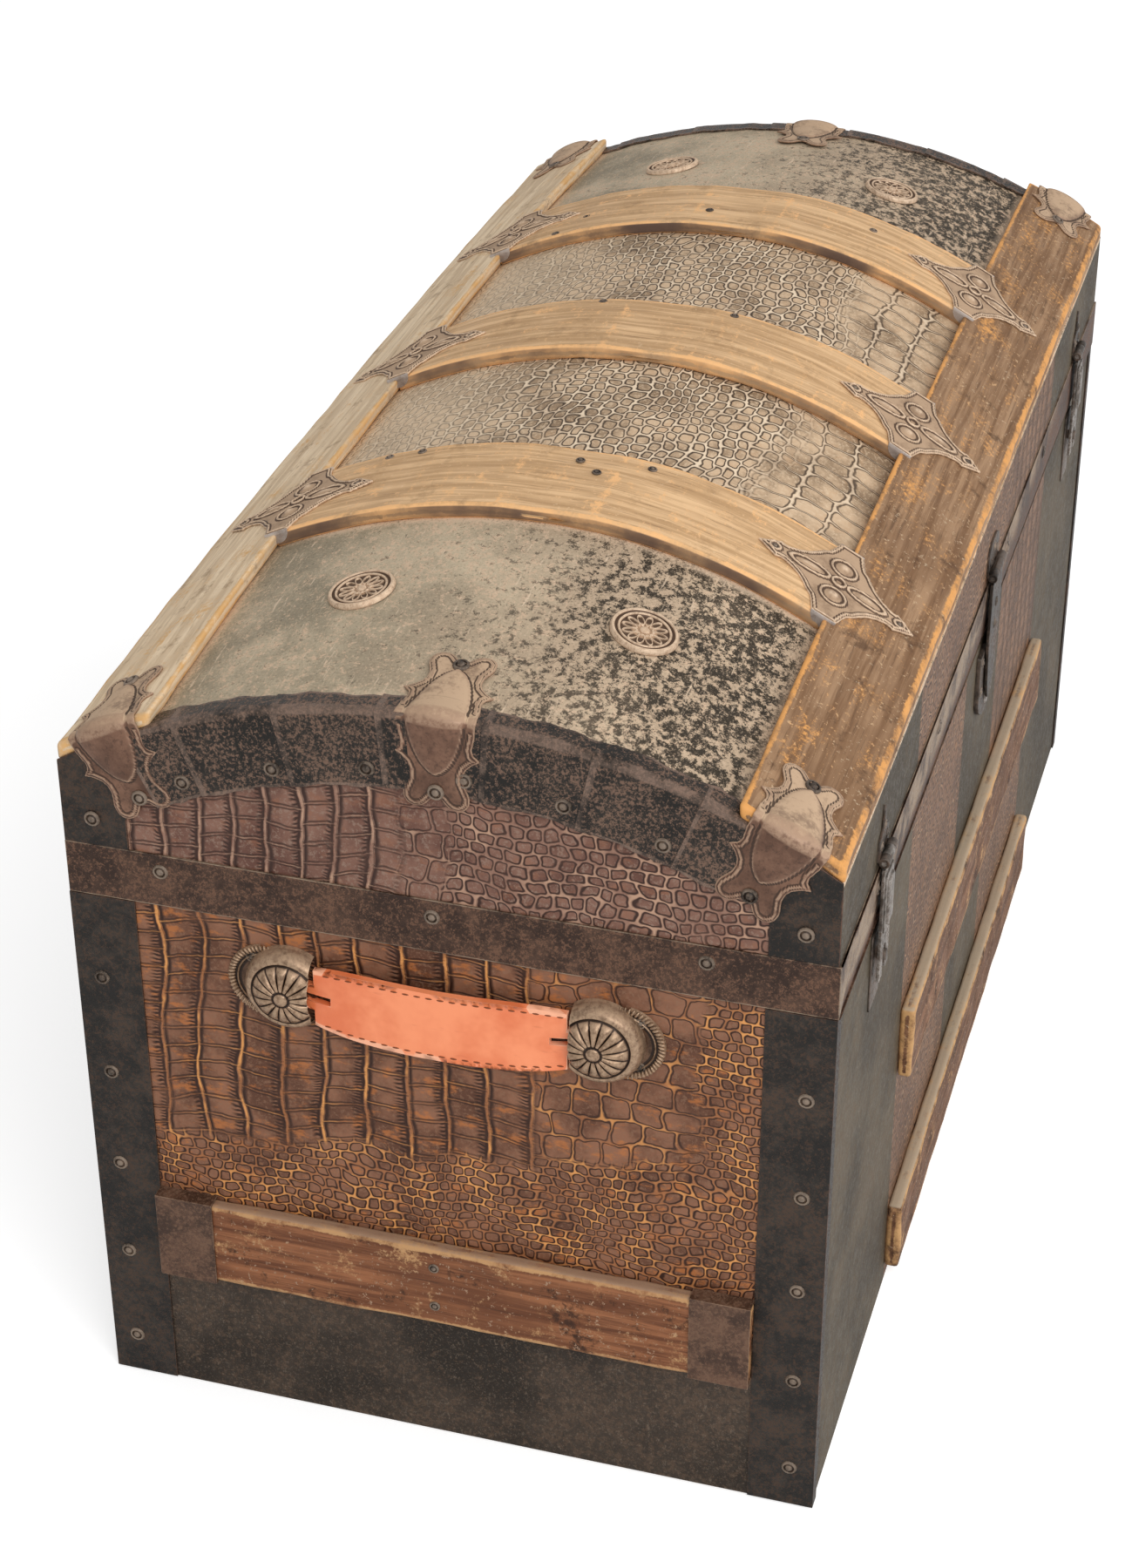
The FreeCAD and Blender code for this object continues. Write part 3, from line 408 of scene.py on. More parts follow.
def radial(turn):
    return Vector((0, sin(turn), cos(turn)))


def onDome(x, radius, turn):
    return Vector((x, 0, domeAxis)) + radial(turn) * radius


def wrapOnDome(piece, radius, angle, x):
    # flat goods bend round the dome: their length turns into an arc
    for vertex in piece.data.vertices:
        along, across, lift = vertex.co
        vertex.co = onDome(x + along, radius + lift, angle + across / radius)
    piece.data.update()
    return piece


crownSizes = {"rise": 0.0215, "flatEnd": 0.443, "foot": 0.375, "shoulder": 0.445}


def crownLift(x, y, z):
    # the lid is also curved along its length: highest in the middle, flat along the front edge
    share = min(abs(x) / crownSizes["flatEnd"], 1.0)
    along = 1.0 - share ** 3
    side = min(abs(y) / caseSide, 1.0)
    across = cos(side * pi / 2) ** 1.2 if y < 0 else 1.0 - 0.65 * side ** 2.2
    height = min(max((z - crownSizes["foot"]) / (crownSizes["shoulder"] - crownSizes["foot"]), 0.0), 1.0)
    return crownSizes["rise"] * along * across * height


def crowned(piece):
    for vertex in piece.data.vertices:
        vertex.co.z += crownLift(*vertex.co)
    piece.data.update()
    return piece


print("finishes")


def woodFinish(name, grain, gloss=0.5, dusty=0.0, wear=1.0, **colours):
    # worn varnish over hardwood, the grain along one axis or round the dome
    finish = Finish(name, colours, gloss, sheen=0.25)
    fine = {"X": (7.0, 170.0, 170.0), "Y": (170.0, 7.0, 170.0), "arc": (190.0, 8.0, 8.0)}[grain]
    strands = finish.noise(1.0, 6.0, finish.stretched(*fine), distortion=0.3, roughness=0.65)
    broad = finish.noise(11.0, 4.0, roughness=0.6)
    pores = finish.noise(1.0, 3.0, finish.stretched(*[3.1 * size for size in fine]), roughness=0.7)
    blotches = finish.noise(34.0, 6.0, roughness=0.75)
    specks = finish.noise(300.0, 3.0, roughness=0.8)
    finish.paint(strands.rise(0.36, 0.64), "light")
    finish.paint(broad.rise(0.46, 0.66) * 0.6, "dark")
    finish.paint(pores.rise(0.56, 0.68) * 0.5, "grime")
    finish.paint(blotches.rise(0.56, 0.66) * 0.65 * wear, "grime")
    finish.paint(specks.rise(0.6, 0.66) * blotches.rise(0.3, 0.5) * 0.7 * wear, "dust")
    relief = finish.relief()
    edges = (relief + (specks - 0.5) * 0.1).rise(0.508, 0.535)
    finish.paint(edges * blotches.rise(0.66, 0.42), "worn")
    if "side" in colours:
        facing = abs(finish.facing("X"))
        finish.paint(facing.rise(0.75, 0.92) * broad.rise(0.75, 0.35), "side")
    if dusty:
        upward = finish.facing("Z")
        lying = upward.rise(0.45, 0.9) * blotches.rise(0.25, 0.5) * dusty
        finish.paint(lying, "dust")
    finish.put("Roughness", blotches.rise(0.3, 0.7, gloss, gloss + 0.25))
    finish.bump(strands * 0.45 + pores * 0.35 + specks * 0.2, 0.0008, 0.6)
    return finish


def hideFinish(name, across, along, cell, tall=None, coarse=None, veil=None, gloss=0.42, **colours):
    # sheet iron pressed like reptile hide: tall scales in columns, coarse ones, and small ones in rows
    finish = Finish(name, colours, gloss)
    sway = finish.noise(11.0, 2.0) - 0.5
    drift = finish.noise(14.0, 2.0) - 0.5
    ripple = finish.noise(60.0, 2.0) - 0.5
    jitter = finish.noise(75.0, 2.0, finish.stretched(1.0, 1.0, 1.0, (0.7, 0.4, 0.9))) - 0.5
    u = finish.axis(across) + sway * 0.03 + ripple * 0.0085
    v = finish.axis(along) + drift * 0.024 + jitter * 0.0065
    small = finish.scales(u, v, cell)
    groove = small.rise(0.48, 0.85)
    # the ring, a dark band round each scale where it dips into the groove, is painted shade
    ring = small.rise(0.12, 0.3) * small.rise(0.75, 0.5)
    if coarse:
        large = finish.scales(u, v, coarse["cell"], True)
        place = finish.axis(across) + sway * 0.05
        where = place.rise(*coarse["from"]) * place.rise(*coarse["to"])
        where = where * (finish.axis(along) + drift * 0.05).rise(*coarse["above"])
        groove = where.cross(groove, large.rise(0.6, 0.95) * 0.75)
        ring = where.cross(ring, large.rise(0.26, 0.45) * large.rise(0.75, 0.58) * 0.9)
    if tall:
        width, height = tall["cell"]
        column = (finish.axis(across) + sway * 0.02 + ripple * 0.0045) / width
        share = column.fraction()
        toColumn = (0.5 - abs(share - 0.5)) * width
        shift = finish.chance(column.whole())
        slant = share * (shift - 0.35) * 0.7
        row = (finish.axis(along) + drift * 0.012 + jitter * 0.003) / height + shift * 3.0 + slant
        toRow = (0.5 - abs(row.fraction() - 0.5)) * height
        where = (finish.axis(across) + sway * 0.03).rise(*tall["from"])
        lean = finish.axis(across) * tall["tilt"]
        where = where * (finish.axis(along) + drift * 0.04 - lean).rise(*tall["above"])
        lines = toColumn.rise(0.0012, 0.0004).most(toRow.rise(0.0006, 0.0002) * 0.5)
        shade = (toColumn.rise(0.001, 0.0016) * toColumn.rise(0.0042, 0.0022)).most(
                toRow.rise(0.0005, 0.0008) * toRow.rise(0.0019, 0.0012) * 0.8)
        teeth = abs((v / 0.0026).fraction() - 0.5).rise(0.2, 0.34)
        combs = teeth * share.rise(0.05, 0.09) * share.rise(0.38, 0.2) * where
        groove = where.cross(groove, lines)
        ring = where.cross(ring, shade).most(combs)
    tone = finish.noise(24.0, 5.0, roughness=0.65)
    grain = finish.noise(400.0, 4.0, roughness=0.75)
    glow = finish.noise(52.0, 4.0, finish.stretched(1.0, 1.0, 2.2), roughness=0.7)
    lit = finish.noise(37.0, 3.0, roughness=0.6)
    finish.paint(tone.rise(0.36, 0.62), "light")
    finish.paint(grain.rise(0.5, 0.62) * 0.6, "dust")
    finish.paint(glow.rise(0.53, 0.66) * colours["glow"], "glint")
    # painted shade round every scale, laid on in the ring colour
    finish.paint(ring * lit.rise(0.25, 0.5, 0.65, 1.0), "ring")
    bright = lit.rise(0.45, 0.62)
    finish.paint(groove * bright.cross(grain.rise(0.35, 0.5, 0.35, 0.85), 1.0),
            bright.blend(colours["groove"], colours["spark"]))
    if veil:
        lying = (finish.axis(veil["axis"]) + sway * 0.08).rise(*veil["from"]) * grain.rise(0.3, 0.6, 0.5, 1.0)
        finish.paint(lying * veil["share"], "dust")
    finish.put("Roughness", grain.rise(0.3, 0.7, gloss, gloss + 0.22))
    finish.bump((1.0 - groove) * 0.5 - ring * 0.35 + grain * 0.15, 0.0013, 0.9)
    return finish


def sheetFinish(name, gloss=0.45, specks=0.6, patches=None, scratches=0.3, **colours):
    # smooth painted sheet iron: fine rust and dust, scuffs and worn patches
    finish = Finish(name, colours, gloss)
    cloud = finish.noise(10.0, 6.0, roughness=0.65)
    flecks = finish.noise(210.0, 6.0, roughness=0.85)
    grit = finish.noise(620.0, 3.0, roughness=0.8)
    streak = finish.noise(1.0, 5.0, finish.stretched(22.0, 260.0, 120.0, (0.0, 0.0, 0.5)), roughness=0.8)
    finish.paint(cloud.rise(0.38, 0.62), "light")
    finish.paint((flecks + (cloud - 0.5) * 0.35).rise(0.52, 0.58) * specks, "freckle")
    if patches:
        worn = finish.noise(patches["grain"], 12.0, roughness=0.82)
        spread = (finish.axis(patches["axis"]) + (cloud - 0.5) * 0.34).rise(*patches["from"])
        black = (worn + spread * patches["reach"] + (cloud - 0.5) * 0.16).rise(
                patches["level"], patches["level"] + 0.03)
        finish.paint(spread * 0.6, "freckle")
        finish.paint(black * spread.cross(patches["least"], 1.0), "bare")
        slatFoot = abs(abs(finish.axis("X")) - 0.22).rise(0.047, 0.0405) * finish.axis("Z").rise(0.3, 0.31)
        foot = slatFoot.most(abs(finish.axis("Y")).rise(0.157, 0.1645))
        finish.paint(foot * (cloud + (grit - 0.5) * 0.8).rise(0.3, 0.55, 0.2, 0.8), "scratch")
    finish.paint(grit.rise(0.56, 0.64) * 0.35, "scratch")
    finish.paint(grit.rise(0.44, 0.36) * 0.35, "bare")
    finish.paint(streak.rise(0.61, 0.65) * scratches, "scratch")
    finish.put("Roughness", flecks.rise(0.35, 0.65, gloss, gloss + 0.28))
    finish.bump(cloud * 0.3 + flecks * 0.5 + grit * 0.2, 0.0008, 0.55)
    return finish


def ironFinish(name, gloss=0.35, metallic=0.0, rusting=0.5, edge=0.8, spread=0.4, **colours):
    # blackened iron with fine rust in patches, and wear with painted highlight along its edges
    finish = Finish(name, colours, gloss, metallic)
    cloud = finish.noise(34.0, 7.0, roughness=0.75)
    flecks = finish.noise(430.0, 5.0, roughness=0.85)
    relief = finish.relief()
    finish.paint(cloud.rise(0.4, 0.62), "light")
    rusty = (flecks + (cloud - 0.5) * spread).rise(0.51, 0.56)
    finish.paint(rusty * rusting, "rust")
    # lighter where the edges stand out: rubbed wear and painted highlight
    finish.paint(relief.rise(0.53, 0.62) * cloud.rise(0.35, 0.6) * edge, "worn")
    finish.put("Roughness", rusty.rise(0.0, 1.0, gloss, gloss + 0.28))
    finish.bump(cloud * 0.35 + flecks * 0.65, 0.0006, 0.6)
    return finish


def stampedFinish(name, gloss=0.38, metallic=0.25, dusty=1.0, **colours):
    # stamped iron: dust on what faces up, painted shade in the hollows, high spots lighter with wear and
    # painted highlight
    finish = Finish(name, colours, gloss, metallic, sheen=0.4)
    cloud = finish.noise(46.0, 6.0, roughness=0.7)
    grit = finish.noise(330.0, 4.0, roughness=0.75)
    relief = finish.relief()
    upward = finish.facing("Z")
    finish.paint(cloud.rise(0.36, 0.66), "light")
    finish.paint(grit.rise(0.52, 0.62) * 0.45, "grime")
    lying = upward.rise(0.35, 0.8) * (cloud + (grit - 0.5) * 0.6).rise(0.3, 0.55, 0.45, 1.0) * dusty
    finish.paint(lying, "dust")
    # the grime colour laid into the hollows is painted shade
    finish.paint(relief.rise(0.49, 0.44) * 0.9, "grime")
    # the worn colour on what stands out is wear with painted highlight
    finish.paint(relief.rise(0.515, 0.58) * grit.rise(0.35, 0.6, 0.3, 0.9), "worn")
    finish.put("Roughness", (lying + grit * 0.2).rise(0.0, 1.0, gloss, gloss + 0.35))
    finish.bump(cloud * 0.4 + grit * 0.6, 0.0004, 0.6)
    return finish


def leatherFinish(name, **colours):
    finish = Finish(name, colours, roughness=0.36, coat=0.25, sheen=0.5)
    cloud = finish.noise(22.0, 4.0, roughness=0.6)
    pores = finish.noise(700.0, 3.0, roughness=0.6)
    crease = finish.noise(1.0, 4.0, finish.stretched(60.0, 20.0, 90.0), roughness=0.75)
    relief = finish.relief()
    finish.paint(cloud.rise(0.35, 0.66), "light")
    finish.paint(crease.rise(0.6, 0.7) * 0.35, "crease")
    # paler along the rounded edges: the pale welt and painted highlight
    finish.paint(relief.rise(0.515, 0.56) * 0.75, "edge")
    finish.bump(pores * 0.4 + crease * 0.3 + cloud * 0.3, 0.0004, 0.5)
    return finish


# ring: the colour of the painted shade round the scales
endHide = hideFinish("endHide", "Y", "Z", (0.0088, 0.0068), tall={"cell": (0.0245, 0.0125),
        "from": (-0.055, -0.045), "above": (0.213, 0.221), "tilt": -0.1}, coarse={"cell": (0.019, 0.0155),
        "from": (-0.15, -0.144), "to": (-0.02, -0.045), "above": (0.232, 0.24)}, dark=(0.105, 0.04, 0.02),
        light=(0.27, 0.12, 0.066), dust=(0.245, 0.132, 0.08), ring=(0.034, 0.011, 0.005),
        groove=(0.36, 0.14, 0.052), spark=(0.7, 0.31, 0.095), glint=(0.52, 0.17, 0.04), glow=0.6)
lidEndHide = hideFinish("lidEndHide", "Y", "Z", (0.0095, 0.0082), gloss=0.36, tall={"cell": (0.02, 0.0125),
        "from": (0.02, 0.03), "above": (0.3, 0.31), "tilt": 0.0}, coarse={"cell": (0.019, 0.015),
        "from": (-0.01, 0.0), "to": (0.062, 0.05), "above": (0.3, 0.31)}, dark=(0.12, 0.05, 0.034),
        light=(0.235, 0.118, 0.082), dust=(0.3, 0.205, 0.155), ring=(0.042, 0.017, 0.011),
        groove=(0.3, 0.165, 0.115), spark=(0.48, 0.29, 0.195), glint=(0.28, 0.115, 0.06), glow=0.45)
frontHide = hideFinish("frontHide", "X", "Z", (0.0105, 0.0082), tall={"cell": (0.0215, 0.0115),
        "from": (0.06, 0.08), "above": (0.1, 0.14), "tilt": 0.0}, dark=(0.105, 0.048, 0.024),
        light=(0.22, 0.112, 0.06), dust=(0.27, 0.165, 0.105), ring=(0.045, 0.021, 0.012),
        groove=(0.24, 0.13, 0.072), spark=(0.34, 0.2, 0.115), glint=(0.34, 0.165, 0.07), glow=0.5)
domeHide = hideFinish("domeHide", "X", "Y", (0.012, 0.0078), gloss=0.55, coarse={"cell": (0.015, 0.024),
        "from": (-0.4, -0.39), "to": (0.5, 0.45), "above": (-0.085, -0.115)},
        veil={"axis": "Y", "from": (0.02, 0.16), "share": 0.7}, dark=(0.28, 0.185, 0.11),
        light=(0.66, 0.47, 0.3), dust=(0.74, 0.57, 0.39), ring=(0.075, 0.048, 0.03),
        groove=(0.74, 0.57, 0.405), spark=(0.86, 0.69, 0.5), glint=(0.58, 0.36, 0.2), glow=0.4)

oliveSheet = sheetFinish("oliveSheet", specks=0.45, dark=(0.046, 0.034, 0.02), light=(0.092, 0.07, 0.042),
        bare=(0.028, 0.022, 0.016), freckle=(0.155, 0.105, 0.066), scratch=(0.24, 0.195, 0.14))
domeSheet = sheetFinish("domeSheet", gloss=0.5, specks=0.85, scratches=0.6, patches={"grain": 160.0,
        "axis": "Y", "from": (0.09, -0.13), "reach": 0.115, "level": 0.58, "least": 0.6},
        dark=(0.29, 0.24, 0.163), light=(0.56, 0.455, 0.312), bare=(0.036, 0.026, 0.016),
        freckle=(0.66, 0.47, 0.32), scratch=(0.78, 0.6, 0.43))
blackSheet = sheetFinish("blackSheet", gloss=0.42, specks=0.55, scratches=0.45, dark=(0.02, 0.013, 0.008),
        light=(0.05, 0.034, 0.023), bare=(0.01, 0.008, 0.006), freckle=(0.125, 0.078, 0.05),
        scratch=(0.22, 0.165, 0.12))

stripIron = ironFinish("stripIron", gloss=0.4, rusting=0.4, edge=0.45, dark=(0.01, 0.008, 0.0065),
        light=(0.034, 0.026, 0.02), rust=(0.115, 0.062, 0.038), worn=(0.2, 0.085, 0.048))
bandIron = ironFinish("bandIron", gloss=0.44, rusting=0.8, spread=0.3, dark=(0.03, 0.013, 0.007),
        light=(0.08, 0.04, 0.024), rust=(0.175, 0.09, 0.055), worn=(0.36, 0.27, 0.19))
edgingIron = ironFinish("edgingIron", gloss=0.24, rusting=0.85, edge=0.6, spread=0.32,
        dark=(0.009, 0.007, 0.005), light=(0.026, 0.02, 0.015), rust=(0.2, 0.118, 0.08),
        worn=(0.24, 0.16, 0.12))
nailIron = ironFinish("nailIron", gloss=0.36, metallic=0.2, dark=(0.022, 0.015, 0.011),
        light=(0.08, 0.054, 0.038), rust=(0.17, 0.11, 0.072), worn=(0.3, 0.23, 0.175))
fittingIron = ironFinish("fittingIron", gloss=0.36, metallic=0.3, edge=0.2, dark=(0.02, 0.014, 0.01),
        light=(0.085, 0.06, 0.044), rust=(0.15, 0.088, 0.058), worn=(0.42, 0.37, 0.33))
slatEndIron = ironFinish("slatEndIron", gloss=0.45, rusting=0.7, dark=(0.05, 0.024, 0.014),
        light=(0.125, 0.062, 0.037), rust=(0.185, 0.105, 0.066), worn=(0.36, 0.24, 0.16))
greySteel = ironFinish("greySteel", gloss=0.34, metallic=0.7, rusting=0.7, edge=0.3,
        dark=(0.085, 0.07, 0.058), light=(0.4, 0.36, 0.325), rust=(0.1, 0.06, 0.038), worn=(0.55, 0.51, 0.47))

domeWood = woodFinish("domeWood", "arc", wear=0.45, dark=(0.52, 0.315, 0.155), light=(0.84, 0.55, 0.3),
        grime=(0.25, 0.14, 0.07), worn=(0.92, 0.52, 0.23), dust=(0.84, 0.65, 0.43), side=(0.13, 0.08, 0.058))
plankWood = woodFinish("plankWood", "X", dark=(0.195, 0.1, 0.047), light=(0.39, 0.235, 0.13),
        grime=(0.08, 0.04, 0.021), worn=(0.74, 0.35, 0.105), dust=(0.6, 0.46, 0.31))
backPlankWood = woodFinish("backPlankWood", "X", gloss=0.6, dark=(0.66, 0.485, 0.31),
        light=(0.92, 0.725, 0.5), grime=(0.36, 0.24, 0.145), worn=(0.72, 0.42, 0.17), dust=(0.86, 0.72, 0.52))
endWood = woodFinish("endWood", "Y", gloss=0.42, dusty=0.9, wear=1.5, dark=(0.13, 0.044, 0.018),
        light=(0.33, 0.13, 0.056), grime=(0.05, 0.021, 0.011), worn=(0.52, 0.29, 0.13),
        dust=(0.34, 0.215, 0.14))
frontWood = woodFinish("frontWood", "X", dusty=0.9, wear=1.4, dark=(0.105, 0.045, 0.022),
        light=(0.25, 0.12, 0.062), grime=(0.05, 0.024, 0.014), worn=(0.58, 0.33, 0.14),
        dust=(0.46, 0.36, 0.255))
boardWood = woodFinish("boardWood", "X", gloss=0.6, wear=0.4, dark=(0.4, 0.27, 0.15),
        light=(0.58, 0.42, 0.26), grime=(0.27, 0.17, 0.095), worn=(0.66, 0.5, 0.33), dust=(0.6, 0.48, 0.34))

clampIron = stampedFinish("clampIron", dark=(0.115, 0.055, 0.033), light=(0.23, 0.12, 0.075),
        dust=(0.6, 0.42, 0.275), grime=(0.05, 0.026, 0.016), worn=(0.42, 0.27, 0.18))
lozengeIron = stampedFinish("lozengeIron", gloss=0.45, dusty=0.8, dark=(0.22, 0.125, 0.07),
        light=(0.4, 0.245, 0.15), dust=(0.58, 0.405, 0.265), grime=(0.07, 0.036, 0.021),
        worn=(0.78, 0.59, 0.42))
tabIron = ironFinish("tabIron", gloss=0.4, metallic=0.3, dark=(0.24, 0.195, 0.17), light=(0.42, 0.37, 0.34),
        rust=(0.3, 0.2, 0.14), worn=(0.6, 0.54, 0.5))
capBronze = stampedFinish("capBronze", gloss=0.3, metallic=0.5, dusty=0.6, dark=(0.075, 0.037, 0.02),
        light=(0.19, 0.105, 0.062), dust=(0.3, 0.195, 0.125), grime=(0.016, 0.008, 0.005),
        worn=(0.5, 0.34, 0.22))
tanLeather = leatherFinish("tanLeather", dark=(0.8, 0.185, 0.062), light=(0.98, 0.31, 0.135),
        crease=(0.62, 0.13, 0.045), edge=(0.98, 0.52, 0.33))
# the keyhole is painted: a black disc and slot stand in for the shade inside the hole
keyholeShadow = Finish("keyholeShadow", roughness=0.9, sheen=0.1)
keyholeShadow.put("Base Color", keyholeShadow.noise(300.0).blend((0.006, 0.005, 0.004), (0.016, 0.012, 0.01)))
stitchThread = Finish("stitchThread", roughness=0.8)
stitchThread.put("Base Color", (0.2, 0.06, 0.024))

shownNodes = {
    boardWood: "body_front_board body_back_board body_left_board body_right_board bottom_board dome_staves "
        "lid_front_board lid_back_board lid_left_board lid_right_board",
    endHide: "body_end_embossed_panels", lidEndHide: "lid_end_embossed_panels",
    frontHide: "body_front_embossed_panels",
    oliveSheet: "body_front_bay_sheets body_front_centre_sheet",
    blackSheet: "body_back_sheet body_end_lower_sheets",
    stripIron: "hinge_pins", greySteel: "fitting_pins", nailIron: "handle_studs",
}
for finish, names in shownNodes.items():
    for name in names.split():
        nodes[name].data.materials.clear()
        nodes[name].data.materials.append(finish.material)


print("wooden slats and planks")


def roughen(piece, depth, grain):
    # hand-worn unevenness
    clouds = bpy.data.textures.new(piece.name + "Wear", "CLOUDS")
    clouds.noise_scale = grain
    modify(piece, "DISPLACE", texture=clouds, strength=depth, mid_level=0.5, texture_coords="LOCAL")
    return piece


def solidCopy(name, node, flat=0.5):
    # a node's solid with its flat faces made whole again
    piece = copyOf(nodes[node], name)
    piece.parent = None
    editAll(piece)
    bpy.ops.mesh.remove_doubles(threshold=mergeReach)
    bpy.ops.mesh.dissolve_limited(angle_limit=radians(flat))
    done()
    return piece


def pieceFromNode(name, node, finish, body, rounding, cuts, depth, lifted=False, held=True):
    piece = solidCopy(name, node)
    low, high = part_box(node)
    if rounding:
        if held:
            ease(piece, 1.7 * rounding, 2, profile=1.0)
        ease(piece, rounding, 3)
    edit(piece)
    for axis in range(3):
        slices(low, high, axis, round(cuts * (high[axis] - low[axis]) / max(high - low)))
    done()
    if depth or lifted:
        modify(piece, "TRIANGULATE")
    if depth:
        roughen(piece, depth, 0.035)
    return complete(piece, finish, body, node, smooth=35, lifted=lifted)


def camel(node):
    first, *others = node.split("_")
    return first + "".join(word.title() for word in others)


slatSizes = {"rounding": 0.0024, "wear": 0.0018, "cuts": 40}
for finish, body, names in (
        (endWood, "body", "left_end_slat right_end_slat"),
        (frontWood, "body", "front_upper_slat back_upper_slat front_lower_slat back_lower_slat"),
        (domeWood, "lid", "left_dome_slat centre_dome_slat right_dome_slat"),
        (plankWood, "lid", "front_edge_plank"), (backPlankWood, "lid", "back_edge_plank")):
    for node in names.split():
        pieceFromNode(camel(node), node, finish, body, slatSizes["rounding"], slatSizes["cuts"],
                slatSizes["wear"], body == "lid")
for name, node, finish in (("domeBaySheets", "dome_bay_sheets", domeSheet),
        ("domeHidePanels", "dome_embossed_panels", domeHide),
        ("lidBackSheet", "lid_back_sheet", blackSheet),
        ("lidFrontHide", "lid_front_embossed_panel", frontHide),
        ("lidFrontSheets", "lid_front_bay_sheets", oliveSheet)):
    pieceFromNode(name, node, finish, "lid", 0, slatSizes["cuts"], 0, True)

print("iron with its edges eased")
ironSizes = {"rounding": 0.0005, "cuts": 24}
for name, node, finish, body in (
        ("cornerStrips", "body_corner_strips", stripIron, "body"),
        ("slatEnds", "end_slat_caps", slatEndIron, "body"),
        ("cornerPlates", "lid_corner_plates", stripIron, "lid"),
        ("bandIron", "lid_band", bandIron, "lid"),
        ("lowerLeaves", "hinge_lower_leaves", stripIron, "body"),
        ("upperLeaves", "hinge_upper_leaves", stripIron, "lid"),
        ("lockCase", "lock_case", fittingIron, "body"),
        ("catches", "latch_catches", fittingIron, "body"),
        ("hingePlates", "fitting_hinge_plates", fittingIron, "lid"),
        ("haspIron", "hasp", fittingIron, "hasp"),
        ("leftTongue", "left_latch_tongue", greySteel, "left_latch"),
        ("rightTongue", "right_latch_tongue", greySteel, "right_latch")):
    pieceFromNode(name, node, finish, body, ironSizes["rounding"], ironSizes["cuts"], 0,
            held=finish not in (fittingIron, greySteel))


print("stamped plates")


def lathe(name, profile, steps=48):
    # a profile drawn point by point and spun about the upright axis
    bpy.ops.mesh.primitive_plane_add(size=0.001)
    piece = made(name)
    edit(piece, "VERT")
    bpy.ops.mesh.select_all(action="SELECT")
    bpy.ops.mesh.merge(type="CENTER")
    bpy.ops.mesh.select_all(action="SELECT")
    bpy.ops.transform.translate(value=(profile[0][0], 0, profile[0][1]))
    for (r0, z0), (r1, z1) in zip(profile, profile[1:]):
        bpy.ops.mesh.extrude_region_move(TRANSFORM_OT_translate={"value": (r1 - r0, 0, z1 - z0)})
    bpy.ops.mesh.select_all(action="SELECT")
    bpy.ops.mesh.spin(steps=steps, angle=tau, center=(0, 0, 0), axis=(0, 0, 1))
    bpy.ops.mesh.select_all(action="SELECT")
    bpy.ops.mesh.remove_doubles(threshold=mergeReach)
    done()
    return settle(piece, 40)


def softPlate(name, corners, fine, thick):
    # a plate cut to an outline, its underside at height 0, remeshed fine enough to take a stamp
    bpy.ops.mesh.primitive_circle_add(vertices=len(corners), radius=0.01, fill_type="NGON")
    piece = made(name)
    for vertex, (x, y) in zip(piece.data.vertices, corners):
        vertex.co = (x, y, 0.0)
    editAll(piece)
    bpy.ops.mesh.extrude_region_move(TRANSFORM_OT_translate={"value": (0, 0, thick)})
    bpy.ops.mesh.select_all(action="SELECT")
    bpy.ops.mesh.normals_make_consistent(inside=False)
    done()
    modify(piece, "REMESH", mode="VOXEL", voxel_size=fine)
    modify(piece, "SMOOTH", factor=0.5, iterations=3)
    return piece


def stamp(name, corners, height, thickness, fine, thick=0.0022):
    # every point keeps its share of the thickness and rides up on the stamp's height
    piece = softPlate(name, corners, fine, thick)
    places = np.array([(vertex.co.x, vertex.co.y) for vertex in piece.data.vertices])
    inset = np.full(len(places), 1.0)
    for start, stop in zip(corners, corners[1:] + corners[:1]):
        start, way = np.array(start), np.array(stop) - np.array(start)
        share = np.clip((places - start) @ way / (way @ way), 0.0, 1.0)
        inset = np.minimum(inset, np.linalg.norm(places - start - share[:, None] * way, axis=1))
    for vertex, far in zip(piece.data.vertices, inset):
        share = min(max(vertex.co.z / thick, 0.0), 1.0)
        vertex.co.z = share * thickness + height(vertex.co.x, vertex.co.y, far)
    piece.data.update()
    return piece


def hill(distance, reach):
    # a rounded step, 1 in the middle and 0 from reach outwards
    share = min(max(1.0 - distance / reach, 0.0), 1.0)
    return share * share * (3 - 2 * share)


clampSizes = {"boss": 0.004, "plate": 0.0014, "foldRadius": 0.003, "blend": 0.006, "topPoint": 0.04,
        "endPoint": 0.034, "halfWidth": 0.0168, "nail": 0.0455}


def clampOutline():
    half = [(23, 0), (22.2, 9), (20.6, 16), (21.2, 19.5), (25.5, 23), (20.5, 25.5), (17, 29), (15.5, 33),
            (15.6, 38), (17.2, 42), (19, 46.5), (18.7, 51), (16.2, 54.5), (12.5, 56), (8.6, 55.4), (5.4, 53),
            (3.2, 50), (0, 48.8)]
    quarter = [(u / 1000, v / 1000) for u, v in half]
    top = [(u, -v) for u, v in quarter[1:]]
    right = quarter[::-1] + top
    left = [(-u, v) for u, v in right[::-1][1:-1]]
    return right + left


def clampHeight(u, v, inset):
    # a smooth half almond that swells towards the fold, and a raised line along the outline
    point = clampSizes["topPoint"] if v > 0 else clampSizes["endPoint"]
    share = abs(v) / point
    boss = 0.0
    if share < 1.0:
        half = clampSizes["halfWidth"] * sqrt(1.0 - share ** 1.5)
        boss = max(1.0 - (u / half) ** 2, 0.0) ** 0.6 * (1.0 - 0.55 * share)
    line = 0.0006 * hill(abs(inset - 0.0026), 0.0013) if abs(v) > clampSizes["blend"] else 0.0
    seat = 0.0009 * hill(hypot(u, abs(v) - clampSizes["nail"]), 0.006)
    return boss * clampSizes["boss"] + line + seat


